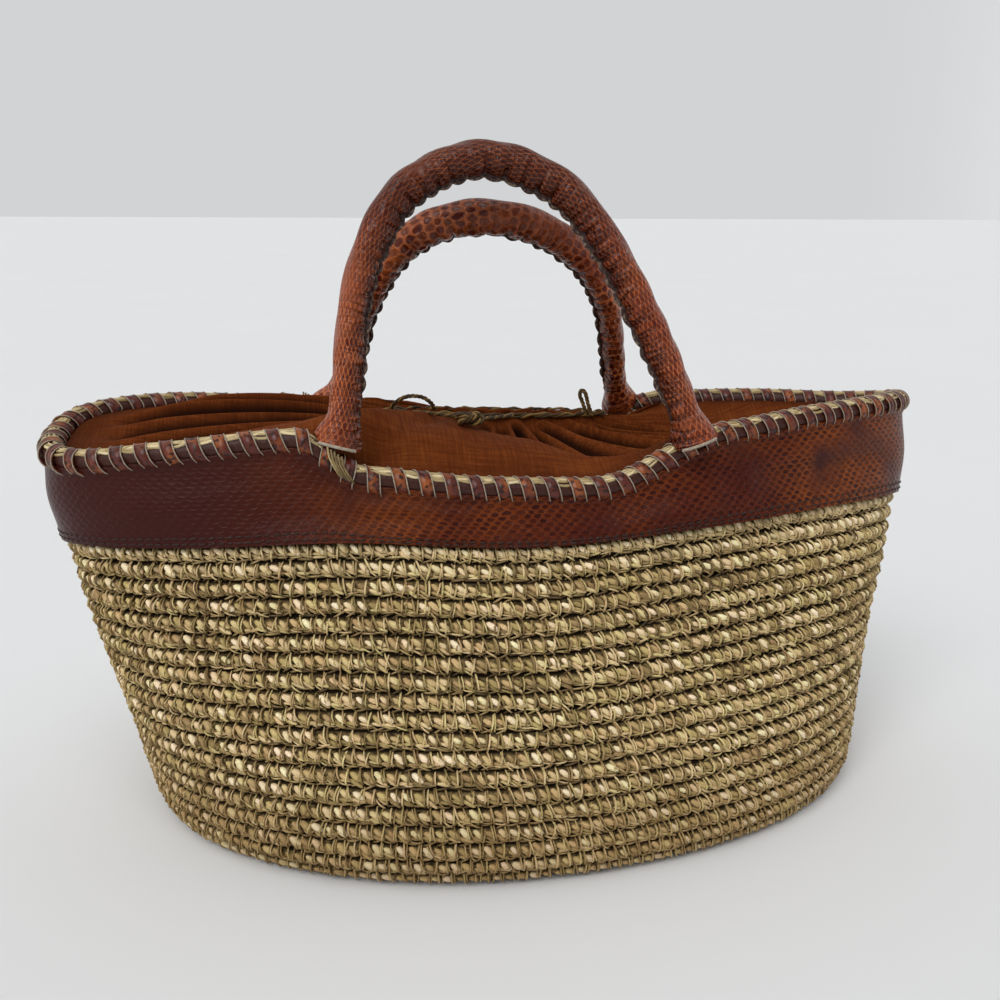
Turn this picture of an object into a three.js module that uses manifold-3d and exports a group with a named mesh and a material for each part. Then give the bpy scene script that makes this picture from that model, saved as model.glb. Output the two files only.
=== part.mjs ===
// Raffia tote bag: an oval basket of crocheted raffia courses, a standing band of embossed leather above it,
// a rolled leather rim, two padded handles that straddle the rim, and a cloth cover gathered on a drawstring.
// Millimetres, +Z up. The front is -Y, and the origin is on the floor under the middle of the bag.
// Turns run anticlockwise from above: 0 is the right end, 90 the back, 180 the left end, 270 the front.

import * as THREE from "three";
import { mergeVertices } from "three/addons/utils/BufferGeometryUtils.js";
import Module from "manifold-3d";

const wasm = await Module();
wasm.setup();

// Driving dimensions
const GAP = 0.35; // clearance kept between neighbouring pieces
const RAFFIA_THICKNESS = 5.5;
const COURSES = 19; // crocheted rounds that show between the floor and the band
const HIDDEN_COURSES = 1; // rounds sewn behind the band's lower edge
const COURSE_RELIEF = 1.7; // depth of the groove between two rounds
const LEATHER_THICKNESS = 2;
const ROLL_RADIUS = 5.8;
const BAND_HEAD_OUT = 2.5; // how far out of the roll's middle line the band meets it
const CLOTH_THICKNESS = 1.5;
const CORD_RADIUS = 2.1;

// Facets round each piece
const BASKET_SIDES = 48;
const RIM_STEPS = 96; // band, roll and cover share their steps, so their facets stay parallel
const ROLL_SIDES = 7;
const CORD_STEPS = 44;
const CORD_SIDES = 6;
const HANDLE_STEPS = 44;
const HANDLE_SIDES = 9;

// The raffia wall's outer ovals, by share of the rise from the floor to the band: half length left and right of
// the middle, half depth, and how full each half of the oval is (2 is an ellipse, less is pointed, more is square).
const WALL = [
  { share: 0.0, left: 165, right: 184, depth: 108, fullLeft: 2.0, fullRight: 2.1 },
  { share: 0.03, left: 173, right: 191, depth: 116, fullLeft: 2.0, fullRight: 2.1 },
  { share: 0.1, left: 177, right: 194, depth: 119.5, fullLeft: 2.05, fullRight: 2.1 },
  { share: 0.33, left: 185, right: 199, depth: 112, fullLeft: 2.1, fullRight: 2.05 },
  { share: 0.55, left: 193.5, right: 203.5, depth: 101, fullLeft: 2.15, fullRight: 2.05 },
  { share: 0.77, left: 202, right: 211, depth: 88, fullLeft: 2.2, fullRight: 2.0 },
  { share: 1.0, left: 208.5, right: 216, depth: 74, fullLeft: 2.3, fullRight: 1.95 },
];

// The mouth's oval, at the middle of the rim roll.
const MOUTH = { left: 211, right: 214.5, depth: 60, fullLeft: 2.7, fullRight: 1.8 };

// Heights round the bag: the band's lower edge, and the rim before its scoops are cut.
const EDGES = [
  { turn: 0, bandFoot: 143, rim: 191 },
  { turn: 25, bandFoot: 145, rim: 187.3 },
  { turn: 45, bandFoot: 146, rim: 187 },
  { turn: 65, bandFoot: 146, rim: 185 },
  { turn: 90, bandFoot: 144, rim: 187 },
  { turn: 112, bandFoot: 146, rim: 187.5 },
  { turn: 135, bandFoot: 146, rim: 191.5 },
  { turn: 160, bandFoot: 143, rim: 189.5 },
  { turn: 180, bandFoot: 139, rim: 183 },
  { turn: 205, bandFoot: 142.5, rim: 180 },
  { turn: 230, bandFoot: 146, rim: 186 },
  { turn: 252, bandFoot: 148.5, rim: 192 },
  { turn: 271, bandFoot: 143.5, rim: 189 },
  { turn: 295, bandFoot: 147, rim: 186 },
  { turn: 315, bandFoot: 149.5, rim: 191.5 },
  { turn: 338, bandFoot: 147.5, rim: 193 },
];

// The scoops cut in the rim between the feet of each handle. A scooped rim also slides out, down the band's slope.
const SCOOP_SLIDE = 0.18;
const SCOOPS = [
  { from: 248, to: 300, fallFirst: 9, fallLast: 19, depth: 17 },
  { from: 254, to: 296, fallFirst: 18, fallLast: 18, depth: 5 },
  { from: 60, to: 112, fallFirst: 13, fallLast: 13, depth: 20 },
];

// Dents and swells of the leather band: where, how far up it (0 to 1), their reach and how far they push outwards.
const BAND_DENTS = [
  { turn: 292, up: 0.25, reachTurn: 9, reachUp: 0.35, push: 3.2 },
  { turn: 318, up: 0.45, reachTurn: 16, reachUp: 0.22, push: -3.4 },
  { turn: 322, up: 0.85, reachTurn: 18, reachUp: 0.2, push: 1.6 },
  { turn: 0, up: 0.5, reachTurn: 18, reachUp: 0.5, push: 2.4 },
  { turn: 180, up: 0.65, reachTurn: 18, reachUp: 0.5, push: 2.2 },
  { turn: 246, up: 0.3, reachTurn: 9, reachUp: 0.3, push: -2.2 },
  { turn: 222, up: 0.55, reachTurn: 14, reachUp: 0.35, push: 1.8 },
  { turn: 60, up: 0.45, reachTurn: 14, reachUp: 0.3, push: -2.6 },
  { turn: 128, up: 0.5, reachTurn: 16, reachUp: 0.3, push: -2.2 },
];

// Dents and swells of the soft raffia wall, in the same columns but by share of the rise.
const BASKET_DENTS = [
  { turn: 300, up: 0.85, reachTurn: 16, reachUp: 0.3, push: -3 },
  { turn: 255, up: 0.2, reachTurn: 30, reachUp: 0.2, push: 2 },
  { turn: 236, up: 0.6, reachTurn: 18, reachUp: 0.3, push: -2.5 },
  { turn: 75, up: 0.6, reachTurn: 30, reachUp: 0.35, push: -3 },
];

// Each handle's centre line in its own leaning plane, from the left foot over the top to the right foot, and
// half the width of its padding there.
const FRONT_LINE = [
  { across: -82.5, rise: 0, half: 6.4 },
  { across: -79.2, rise: 12, half: 6.5 },
  { across: -76.4, rise: 34, half: 6.5 },
  { across: -73.8, rise: 58, half: 6.5 },
  { across: -65.6, rise: 85, half: 6.9 },
  { across: -49, rise: 110.3, half: 7.5 },
  { across: -16, rise: 125, half: 7.7 },
  { across: 20, rise: 113.3, half: 7.7 },
  { across: 41.5, rise: 89, half: 7.6 },
  { across: 57, rise: 60, half: 7.5 },
  { across: 69, rise: 35, half: 7.3 },
  { across: 77.8, rise: 13, half: 7 },
  { across: 82, rise: 0, half: 7 },
];
const BACK_LINE = [
  { across: -82, rise: 0, half: 6.2 },
  { across: -76, rise: 12, half: 6.4 },
  { across: -69.8, rise: 36, half: 6.2 },
  { across: -64.5, rise: 67, half: 6.7 },
  { across: -50.5, rise: 100, half: 7.8 },
  { across: -34, rise: 115, half: 8.4 },
  { across: -13, rise: 121.5, half: 8.5 },
  { across: 10, rise: 119, half: 8.4 },
  { across: 30, rise: 109.5, half: 8 },
  { across: 47.5, rise: 93, half: 7.1 },
  { across: 59.8, rise: 70, half: 6.2 },
  { across: 68, rise: 41, half: 5.9 },
  { across: 75, rise: 14, half: 6.2 },
  { across: 80.5, rise: 0, half: 6.3 },
];
const HANDLES = [
  { name: "handle_front", line: FRONT_LINE, y: -57.5, leftZ: 190, rightZ: 185.5, leanDeg: 8 },
  { name: "handle_back", line: BACK_LINE, y: 57, leftZ: 187.3, rightZ: 184, leanDeg: -34 },
];
const HANDLE_HALF_DEPTH = 7.6;
const FOOT_REACH = 22; // length of the flare at each foot
const FOOT_FLARE = { across: 4.4, deep: 1.4 }; // how much wider the foot is than the handle, each side
const FOOT_DROP = 1.5; // how far the foot's cut edge hangs below the middle of the rim roll
const SEAM_HEIGHT = 1.8; // ruffled seam on the handle's underside
const SEAM_RUFFLE = { height: 0.8, sway: 1.3 };

// The gathered hem: a slim oval slot in the cover, which the drawstring rings.
const HEM = { x: 4, y: 29, halfLength: 58, halfWidth: 8.5, height: 181.5, tilt: -0.04 };
const HEM_PLEATS = 22;
const PLEAT_DEPTH = 2.2;
const COVER_ROWS = 4;

// The cover stops short of the roll where it passes round a handle's foot.
const FOOT_NOTCHES = [252.5, 297, 65.5, 110];
const NOTCH_DEPTH = 4.2;
const NOTCH_REACH = 5.5;

// How far the cover puffs above a straight pull from the rim to the hem, round the bag.
const COVER_PUFF = [
  { turn: 0, puff: -10 },
  { turn: 40, puff: -5 },
  { turn: 90, puff: 3 },
  { turn: 130, puff: 9 },
  { turn: 155, puff: 10 },
  { turn: 180, puff: 6 },
  { turn: 205, puff: 4 },
  { turn: 232, puff: 6 },
  { turn: 258, puff: 9 },
  { turn: 275, puff: 6 },
  { turn: 300, puff: 0 },
  { turn: 330, puff: -8 },
];

// The cover's large folds: where they run, how wide they are, where they are deepest and how deep.
const COVER_FOLDS = [
  { turn: 172, reachTurn: 7, along: 0.45, reachAlong: 0.3, lift: -7 },
  { turn: 192, reachTurn: 7, along: 0.5, reachAlong: 0.3, lift: 3 },
  { turn: 206, reachTurn: 6, along: 0.5, reachAlong: 0.3, lift: -4 },
  { turn: 288, reachTurn: 5, along: 0.55, reachAlong: 0.3, lift: -5 },
  { turn: 297, reachTurn: 5, along: 0.6, reachAlong: 0.3, lift: 3.5 },
  { turn: 307, reachTurn: 6, along: 0.55, reachAlong: 0.35, lift: -6 },
  { turn: 326, reachTurn: 8, along: 0.5, reachAlong: 0.3, lift: 3 },
  { turn: 88, reachTurn: 6, along: 0.5, reachAlong: 0.3, lift: -2 },
  { turn: 108, reachTurn: 9, along: 0.15, reachAlong: 0.3, lift: -9 },
  { turn: 66, reachTurn: 8, along: 0.15, reachAlong: 0.3, lift: -5 },
];

const KNOT = { turn: 264, along: 0.6, radius: 4.2, cord: 1.8, flat: 0.75 };

// Colours
const RAFFIA = new THREE.MeshStandardMaterial({ color: 0xb9a273, roughness: 0.85, metalness: 0 });
const BAND_LEATHER = new THREE.MeshStandardMaterial({ color: 0x5c2a1e, roughness: 0.35, metalness: 0 });
const HANDLE_LEATHER = new THREE.MeshStandardMaterial({ color: 0x7d3f26, roughness: 0.4, metalness: 0 });
const COVER_CLOTH = new THREE.MeshStandardMaterial({ color: 0x77391a, roughness: 0.9, metalness: 0 });
const DRAWCORD = new THREE.MeshStandardMaterial({ color: 0x5e4a2a, roughness: 0.8, metalness: 0 });

// A smooth curve through one column of a table, read by another column. A period closes it on itself.
function curveThrough(rows, by, column, period = 0) {
  const knots = rows.map((row) => [row[by], row[column]]);
  if (period) {
    const wrap = (shift) => ([at, value]) => [at + shift, value];
    knots.unshift(...knots.slice(-2).map(wrap(-period)));
    knots.push(...knots.slice(2, 4).map(wrap(period)));
  }
  const slope = (i) => {
    const before = knots[Math.max(i - 1, 0)];
    const after = knots[Math.min(i + 1, knots.length - 1)];
    return (after[1] - before[1]) / (after[0] - before[0]);
  };
  return (where) => {
    const at = period ? THREE.MathUtils.euclideanModulo(where, period) : where;
    let i = knots.findIndex((knot) => knot[0] > at) - 1;
    if (i < 0) i = at < knots[0][0] ? 0 : knots.length - 2;
    const [x0, y0] = knots[i];
    const [x1, y1] = knots[i + 1];
    const width = x1 - x0;
    const t = (at - x0) / width;
    const hermite = [
      (1 + 2 * t) * (1 - t) ** 2 * y0,
      t * (1 - t) ** 2 * width * slope(i),
      t * t * (3 - 2 * t) * y1,
      t * t * (t - 1) * width * slope(i + 1),
    ];
    return hermite.reduce((sum, term) => sum + term, 0);
  };
}

// A bell that is 1 at 0 and fades out beyond 1.
const bell = (x) => Math.exp(-x * x);

// The shorter way round from one turn to another, in degrees.
const turnFrom = (a, b) => THREE.MathUtils.euclideanModulo(a - b + 180, 360) - 180;

// The sum of a table of dents at a place.
function dentAt(dents, turn, up) {
  return dents.reduce((sum, dent) => {
    const across = turnFrom(turn, dent.turn) / dent.reachTurn;
    return sum + dent.push * bell(across) * bell((up - dent.up) / dent.reachUp);
  }, 0);
}

// A point on an oval whose two halves may be differently long and full, pushed outwards along its normal.
function ovalPoint(oval, turn, outwards = 0) {
  const at = (degrees) => {
    const c = Math.cos(THREE.MathUtils.degToRad(degrees));
    const s = Math.sin(THREE.MathUtils.degToRad(degrees));
    const power = 2 / (c < 0 ? oval.fullLeft : oval.fullRight);
    const length = c < 0 ? oval.left : oval.right;
    const x = length * Math.sign(c) * Math.abs(c) ** power;
    const y = oval.depth * Math.sign(s) * Math.abs(s) ** power;
    return new THREE.Vector2(x, y);
  };
  const step = 0.5;
  const along = at(turn + step).sub(at(turn - step)).normalize();
  return at(turn).add(new THREE.Vector2(along.y, -along.x).multiplyScalar(outwards));
}

const wallColumns = ["left", "right", "depth", "fullLeft", "fullRight"];
const wallCurves = wallColumns.map((column) => [column, curveThrough(WALL, "share", column)]);
const wallOval = (share) => Object.fromEntries(wallCurves.map(([column, curve]) => [column, curve(share)]));
const bandFootAt = curveThrough(EDGES, "turn", "bandFoot", 360);
const shoulderAt = curveThrough(EDGES, "turn", "rim", 360);
const puffAt = curveThrough(COVER_PUFF, "turn", "puff", 360);

// How far the rim is scooped down.
function scoopAt(turn) {
  return SCOOPS.reduce((sum, scoop) => {
    const down = THREE.MathUtils.smoothstep(turn, scoop.from, scoop.from + scoop.fallFirst);
    const up = THREE.MathUtils.smoothstep(turn, scoop.to - scoop.fallLast, scoop.to);
    return sum + scoop.depth * (down - up);
  }, 0);
}

// A point on the rim roll's centre line.
function rimPoint(turn) {
  const scoop = scoopAt(turn);
  const plan = ovalPoint(MOUTH, turn, SCOOP_SLIDE * scoop);
  return new THREE.Vector3(plan.x, plan.y, shoulderAt(turn) - scoop);
}

// The level direction out of the mouth, square to the rim.
function rimOutwards(turn) {
  const along = rimPoint(turn + 1).sub(rimPoint(turn - 1));
  return new THREE.Vector3(along.y, -along.x, 0).normalize();
}

// The level of the roll's underside over the band: the lowest of the balls that the roll sweeps there.
function bandHeadAt(turn) {
  const reach = ROLL_RADIUS + 1.5 * GAP;
  const here = rimPoint(turn);
  const levels = Array.from({ length: 33 }, (_, i) => {
    const near = rimPoint(turn + (i - 16) / 2);
    const apart = Math.hypot(near.x - here.x, near.y - here.y);
    return apart < reach ? near.z - Math.sqrt(reach ** 2 - apart ** 2) : here.z;
  });
  return Math.min(...levels);
}

// A closed solid through rings of points. A loop joins its last ring to its first; otherwise the ends are closed.
function loft(rings, loop) {
  const sides = rings[0].length;
  const points = rings.flat();
  const faces = [];
  const joints = loop ? rings.length : rings.length - 1;
  for (let r = 0; r < joints; r++) {
    const low = r * sides;
    const high = ((r + 1) % rings.length) * sides;
    for (let i = 0; i < sides; i++) {
      const j = (i + 1) % sides;
      faces.push(low + i, low + j, high + j, low + i, high + j, high + i);
    }
  }
  if (!loop) {
    for (const [ring, start, flip] of [
      [rings[0], 0, true],
      [rings.at(-1), points.length - sides, false],
    ]) {
      const middle = points.length;
      points.push(ring.reduce((sum, p) => sum.add(p), new THREE.Vector3()).divideScalar(sides));
      for (let i = 0; i < sides; i++) {
        const j = (i + 1) % sides;
        faces.push(middle, start + (flip ? j : i), start + (flip ? i : j));
      }
    }
  }
  const geometry = new THREE.BufferGeometry().setFromPoints(points).setIndex(faces);
  return facingOut(geometry);
}

// Turns every face round if the solid is inside out.
function facingOut(geometry) {
  const place = geometry.getAttribute("position");
  const index = geometry.getIndex().array;
  const corner = (i) => new THREE.Vector3().fromBufferAttribute(place, index[i]);
  let volume = 0;
  for (let i = 0; i < index.length; i += 3) {
    volume += corner(i).dot(corner(i + 1).cross(corner(i + 2)));
  }
  if (volume < 0) geometry.setIndex(Array.from(index).reverse());
  return geometry;
}

// Evenly spaced turns round the bag.
const turns = (count) => Array.from({ length: count }, (_, i) => (360 * i) / count);

// A ring of points round the bag, made by a function of the turn.
const ringOf = (count, pointAt) => turns(count).map(pointAt);

// The basket's outer and inner faces: share is the height as a part of the rise to the band. Beyond it, the last
// round leans against the back of the band.
function basketPoint(turn, share, outwards) {
  if (share > 1) {
    const foot = bandFootAt(turn);
    const up = ((share - 1) * foot) / (bandHeadAt(turn) - foot);
    return bandPoint(turn, up, outwards - LEATHER_THICKNESS - 2 * GAP);
  }
  const dent = dentAt(BASKET_DENTS, turn, share);
  const plan = ovalPoint(wallOval(share), turn, outwards + dent);
  return new THREE.Vector3(plan.x, plan.y, share * bandFootAt(turn));
}

// The raffia basket: each crocheted round is a rib between two grooves, and the floor is one flat oval.
function basketGeometry() {
  const rings = [];
  const rounds = COURSES + HIDDEN_COURSES;
  for (let round = 0; round < rounds; round++) {
    const groove = round === 0 ? 0 : -COURSE_RELIEF;
    rings.push(ringOf(BASKET_SIDES, (turn) => basketPoint(turn, round / COURSES, groove)));
    rings.push(ringOf(BASKET_SIDES, (turn) => basketPoint(turn, (round + 0.5) / COURSES, 0)));
  }
  const top = rounds / COURSES;
  rings.push(ringOf(BASKET_SIDES, (turn) => basketPoint(turn, top, -COURSE_RELIEF)));
  const innerShares = [top, 0.78, 0.55, 0.33, 0.14];
  for (const share of innerShares) {
    rings.push(ringOf(BASKET_SIDES, (turn) => basketPoint(turn, share, -RAFFIA_THICKNESS)));
  }
  const floorRing = (turn) => {
    const plan = ovalPoint(wallOval(0), turn, -RAFFIA_THICKNESS);
    return new THREE.Vector3(plan.x, plan.y, RAFFIA_THICKNESS);
  };
  rings.push(ringOf(BASKET_SIDES, floorRing));
  return loft(rings, false);
}

// The leather band stands on the basket's shoulder and rises to the rim roll, as up goes from 0 to 1.
function bandPoint(turn, up, outwards) {
  const foot = bandFootAt(turn);
  const clear = GAP + LEATHER_THICKNESS;
  const low = ovalPoint(wallOval(1), turn, clear);
  const rim = rimPoint(turn);
  const normal = ovalPoint(MOUTH, turn, 1).sub(ovalPoint(MOUTH, turn, 0));
  const high = new THREE.Vector2(rim.x, rim.y).addScaledVector(normal, BAND_HEAD_OUT + LEATHER_THICKNESS / 2);
  const swell = dentAt(BAND_DENTS, turn, up) * Math.sin(Math.PI * up);
  const plan = low.lerp(high, up).addScaledVector(normal, outwards + swell);
  return new THREE.Vector3(plan.x, plan.y, foot + (bandHeadAt(turn) - foot) * up);
}

function bandGeometry() {
  const ups = [0, 0.28, 0.6, 1];
  const outer = ups.map((up) => ringOf(RIM_STEPS, (turn) => bandPoint(turn, up, 0)));
  const innerUps = [...ups].reverse();
  const inner = innerUps.map((up) => ringOf(RIM_STEPS, (turn) => bandPoint(turn, up, -LEATHER_THICKNESS)));
  return loft([...outer, ...inner], true);
}

// A closed tube round the bag along a function of the turn.
function ringTube(pointAt, radius, steps, sides) {
  const rings = turns(steps).map((turn) => {
    const along = pointAt(turn + 1).sub(pointAt(turn - 1)).normalize();
    const out = new THREE.Vector3().crossVectors(along, new THREE.Vector3(0, 0, 1)).normalize();
    const up = new THREE.Vector3().crossVectors(out, along);
    return Array.from({ length: sides }, (_, i) => {
      const angle = (2 * Math.PI * (i + 0.5)) / sides;
      return pointAt(turn)
        .addScaledVector(out, radius * Math.cos(angle))
        .addScaledVector(up, radius * Math.sin(angle));
    });
  });
  return loft(rings, true);
}

// The cover's upper face: along runs from 0 at the rim to 1 at the hem.
function coverPoint(turn, along) {
  const notch = FOOT_NOTCHES.reduce((sum, at) => {
    return sum + NOTCH_DEPTH * bell((turnFrom(turn, at) / NOTCH_REACH) ** 2);
  }, 0);
  const start = rimPoint(turn).addScaledVector(rimOutwards(turn), -ROLL_RADIUS - 1.2 * GAP - notch);
  const c = Math.cos(THREE.MathUtils.degToRad(turn));
  const s = Math.sin(THREE.MathUtils.degToRad(turn));
  const hemX = HEM.x + HEM.halfLength * c;
  const hem = new THREE.Vector3(hemX, HEM.y + HEM.halfWidth * s, HEM.height + HEM.tilt * hemX);
  const point = start.lerp(hem, along);
  const puff = puffAt(turn) * Math.sin(Math.PI * along) ** 0.8;
  const pleat = PLEAT_DEPTH * Math.cos(THREE.MathUtils.degToRad(HEM_PLEATS * turn)) * along ** 1.5;
  const folds = COVER_FOLDS.reduce((sum, fold) => {
    const across = turnFrom(turn, fold.turn) / fold.reachTurn;
    return sum + fold.lift * bell(across) * bell((along - fold.along) / fold.reachAlong);
  }, 0);
  const loose = THREE.MathUtils.smoothstep(along, -0.05, 0.3);
  point.z += (puff + folds) * loose + pleat;
  return point;
}

// The cover is one sheet: its lower face lies straight under the upper one.
function coverGeometry() {
  const rows = Array.from({ length: COVER_ROWS + 1 }, (_, i) => i / COVER_ROWS);
  const upper = rows.map((along) => ringOf(RIM_STEPS, (turn) => coverPoint(turn, along)));
  const under = (point) => point.clone().setZ(point.z - CLOTH_THICKNESS);
  const lower = upper.map((ring) => ring.map(under)).reverse();
  return loft([...upper, ...lower], true);
}

// The drawstring rests on the pleats' crests round the hem.
function drawstringPoint(turn) {
  const level = PLEAT_DEPTH + CORD_RADIUS + 4 * GAP;
  const hem = coverPoint(turn, 1);
  const pleat = PLEAT_DEPTH * Math.cos(THREE.MathUtils.degToRad(HEM_PLEATS * turn));
  return hem.setZ(hem.z - pleat + level);
}

// The drawstring's ends are tied in one flattened knot that lies on the cover in front of the hem.
function knotMesh() {
  const knot = new THREE.TorusKnotGeometry(KNOT.radius, KNOT.cord, 36, 5, 2, 3);
  const seat = coverPoint(KNOT.turn, KNOT.along);
  knot.computeBoundingBox();
  const lowest = knot.boundingBox.min.z * KNOT.flat;
  const crests = [-5, 0, 5].flatMap((turn) =>
    [-0.05, 0, 0.05].map((along) => coverPoint(KNOT.turn + turn, KNOT.along + along).z),
  );
  const mesh = new THREE.Mesh(knot, DRAWCORD);
  mesh.name = "drawstring_knot";
  mesh.scale.z = KNOT.flat;
  mesh.position.set(seat.x, seat.y, Math.max(...crests) - lowest - GAP);
  return mesh;
}

// A handle's centre line in the bag's frame, standing on the rim at its two feet and leaning over the mouth.
function handleCurve(handle) {
  const lean = THREE.MathUtils.degToRad(handle.leanDeg);
  const first = handle.line[0].across;
  const span = handle.line.at(-1).across - first;
  const points = handle.line.map(({ across, rise }) => {
    const foot = THREE.MathUtils.lerp(handle.leftZ, handle.rightZ, (across - first) / span) - FOOT_DROP;
    return new THREE.Vector3(across, handle.y + rise * Math.sin(lean), foot + rise * Math.cos(lean));
  });
  return new THREE.CatmullRomCurve3(points, false, "centripetal");
}

// A padded handle: a round leather sleeve with a ruffled seam along its underside and a flared foot at each end.
function handleGeometry(handle) {
  const curve = handleCurve(handle);
  const length = curve.getLength();
  const rows = handle.line.map((row, at) => ({ at, half: row.half }));
  const halfAt = curveThrough(rows, "at", "half");
  const lean = THREE.MathUtils.degToRad(handle.leanDeg);
  const facing = new THREE.Vector3(0, -Math.cos(lean), Math.sin(lean));
  const rings = [];
  for (let step = 0; step <= HANDLE_STEPS; step++) {
    const u = step / HANDLE_STEPS;
    const along = curve.getTangentAt(u);
    const middle = curve.getPointAt(u);
    const under = new THREE.Vector3().crossVectors(along, facing).normalize();
    const side = new THREE.Vector3().crossVectors(under, along);
    const fromFoot = Math.min(u, 1 - u) * length;
    const flare = (1 - THREE.MathUtils.smoothstep(fromFoot, 0, FOOT_REACH)) ** 1.5;
    const ruffle = step % 2 ? 1 : -1;
    const seam = THREE.MathUtils.smoothstep(fromFoot, FOOT_REACH * 0.6, FOOT_REACH * 1.4);
    const padding = halfAt(curve.getUtoTmapping(u) * (rows.length - 1));
    const wide = padding + FOOT_FLARE.across * flare;
    const deep = HANDLE_HALF_DEPTH + FOOT_FLARE.deep * flare;
    const ring = Array.from({ length: HANDLE_SIDES }, (_, i) => {
      const angle = (2 * Math.PI * i) / HANDLE_SIDES;
      const inSeam = i === 0 ? seam : 0;
      const ridge = inSeam * (SEAM_HEIGHT + ruffle * SEAM_RUFFLE.height);
      return middle
        .clone()
        .addScaledVector(under, wide * Math.cos(angle) + ridge)
        .addScaledVector(side, deep * Math.sin(angle) + inSeam * ruffle * SEAM_RUFFLE.sway);
    });
    rings.push(ring);
  }
  return loft(rings, false);
}

// A geometry as a solid that can be cut, and back.
function solidOf(geometry) {
  const bare = geometry.clone();
  for (const name of Object.keys(bare.attributes)) {
    if (name !== "position") bare.deleteAttribute(name);
  }
  const merged = mergeVertices(bare, 1e-4);
  const mesh = new wasm.Mesh({
    numProp: 3,
    vertProperties: new Float32Array(merged.getAttribute("position").array),
    triVerts: new Uint32Array(merged.getIndex().array),
  });
  return new wasm.Manifold(mesh);
}

function geometryOf(solid) {
  const mesh = solid.getMesh();
  const geometry = new THREE.BufferGeometry();
  geometry.setAttribute("position", new THREE.BufferAttribute(mesh.vertProperties, 3));
  return geometry.setIndex(new THREE.BufferAttribute(mesh.triVerts, 1));
}

function named(name, geometry, material) {
  const mesh = new THREE.Mesh(geometry, material);
  mesh.name = name;
  return mesh;
}

const bag = new THREE.Group();
bag.add(named("basket", basketGeometry(), RAFFIA));
bag.add(named("leather_band", bandGeometry(), BAND_LEATHER));
bag.add(named("rim_roll", ringTube(rimPoint, ROLL_RADIUS, RIM_STEPS, ROLL_SIDES), BAND_LEATHER));

// Each handle's feet are hollowed to straddle the rim roll.
const rollSeat = solidOf(ringTube(rimPoint, ROLL_RADIUS + GAP, RIM_STEPS, ROLL_SIDES));
for (const handle of HANDLES) {
  const seated = solidOf(handleGeometry(handle)).subtract(rollSeat);
  bag.add(named(handle.name, geometryOf(seated), HANDLE_LEATHER));
}

bag.add(named("cover_cloth", coverGeometry(), COVER_CLOTH));
bag.add(named("drawstring", ringTube(drawstringPoint, CORD_RADIUS, CORD_STEPS, CORD_SIDES), DRAWCORD));
bag.add(knotMesh());

// The origin goes to the floor under the middle of the whole bag's box.
bag.updateMatrixWorld(true);
const middle = new THREE.Box3().setFromObject(bag, true).getCenter(new THREE.Vector3());
for (const piece of bag.children) piece.position.sub(middle.setZ(0));

export default bag;
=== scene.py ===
# Raffia tote bag: a crocheted raffia basket, a standing band and laced rim of snake-grain leather,
# two padded leather handles and a gathered cotton cover.
# Lengths are millimetres as drawn. They become metres in the meshes and in the sizes that trees are given.
# Turns run anticlockwise from above: 0 is the right end, 90 the back, 180 the left end, 270 the front.
import math

import bmesh
import bpy
import numpy as np
from mathutils import Matrix, Vector


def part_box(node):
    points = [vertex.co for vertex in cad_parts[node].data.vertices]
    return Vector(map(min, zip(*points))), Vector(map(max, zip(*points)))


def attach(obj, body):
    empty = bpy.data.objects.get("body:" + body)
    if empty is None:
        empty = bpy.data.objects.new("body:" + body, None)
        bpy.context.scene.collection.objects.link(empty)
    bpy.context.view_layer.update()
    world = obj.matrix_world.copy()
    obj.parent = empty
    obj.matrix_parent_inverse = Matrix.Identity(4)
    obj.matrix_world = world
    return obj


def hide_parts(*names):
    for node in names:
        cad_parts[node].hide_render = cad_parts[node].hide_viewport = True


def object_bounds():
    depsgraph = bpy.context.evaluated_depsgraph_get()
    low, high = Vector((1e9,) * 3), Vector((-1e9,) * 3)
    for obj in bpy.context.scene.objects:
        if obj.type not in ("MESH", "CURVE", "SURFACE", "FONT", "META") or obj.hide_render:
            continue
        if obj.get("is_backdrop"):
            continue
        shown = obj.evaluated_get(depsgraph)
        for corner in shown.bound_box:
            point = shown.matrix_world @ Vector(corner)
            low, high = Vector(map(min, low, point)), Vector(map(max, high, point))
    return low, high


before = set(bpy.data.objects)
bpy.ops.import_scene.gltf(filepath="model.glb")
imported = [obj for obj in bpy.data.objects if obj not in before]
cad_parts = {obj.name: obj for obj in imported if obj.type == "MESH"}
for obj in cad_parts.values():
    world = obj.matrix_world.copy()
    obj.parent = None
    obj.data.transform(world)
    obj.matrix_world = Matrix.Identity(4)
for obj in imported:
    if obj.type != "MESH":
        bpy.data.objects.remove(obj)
cad_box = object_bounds()
scene = bpy.context.scene


# Camera: stands close in front of the bag, a little to its left, and looks down at the rim.
# Its place, aim and lens were fitted to the outline of the bag in the photograph.
CAMERA_PLACE = Vector((-0.10105, -0.53193, 0.2896))
CAMERA_YAW, CAMERA_PITCH, CAMERA_ROLL = np.radians((10.63, 14.9, 0.3))
SENSOR_WIDTH, FOCAL_LENGTH = 36.0, 39.6

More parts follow.
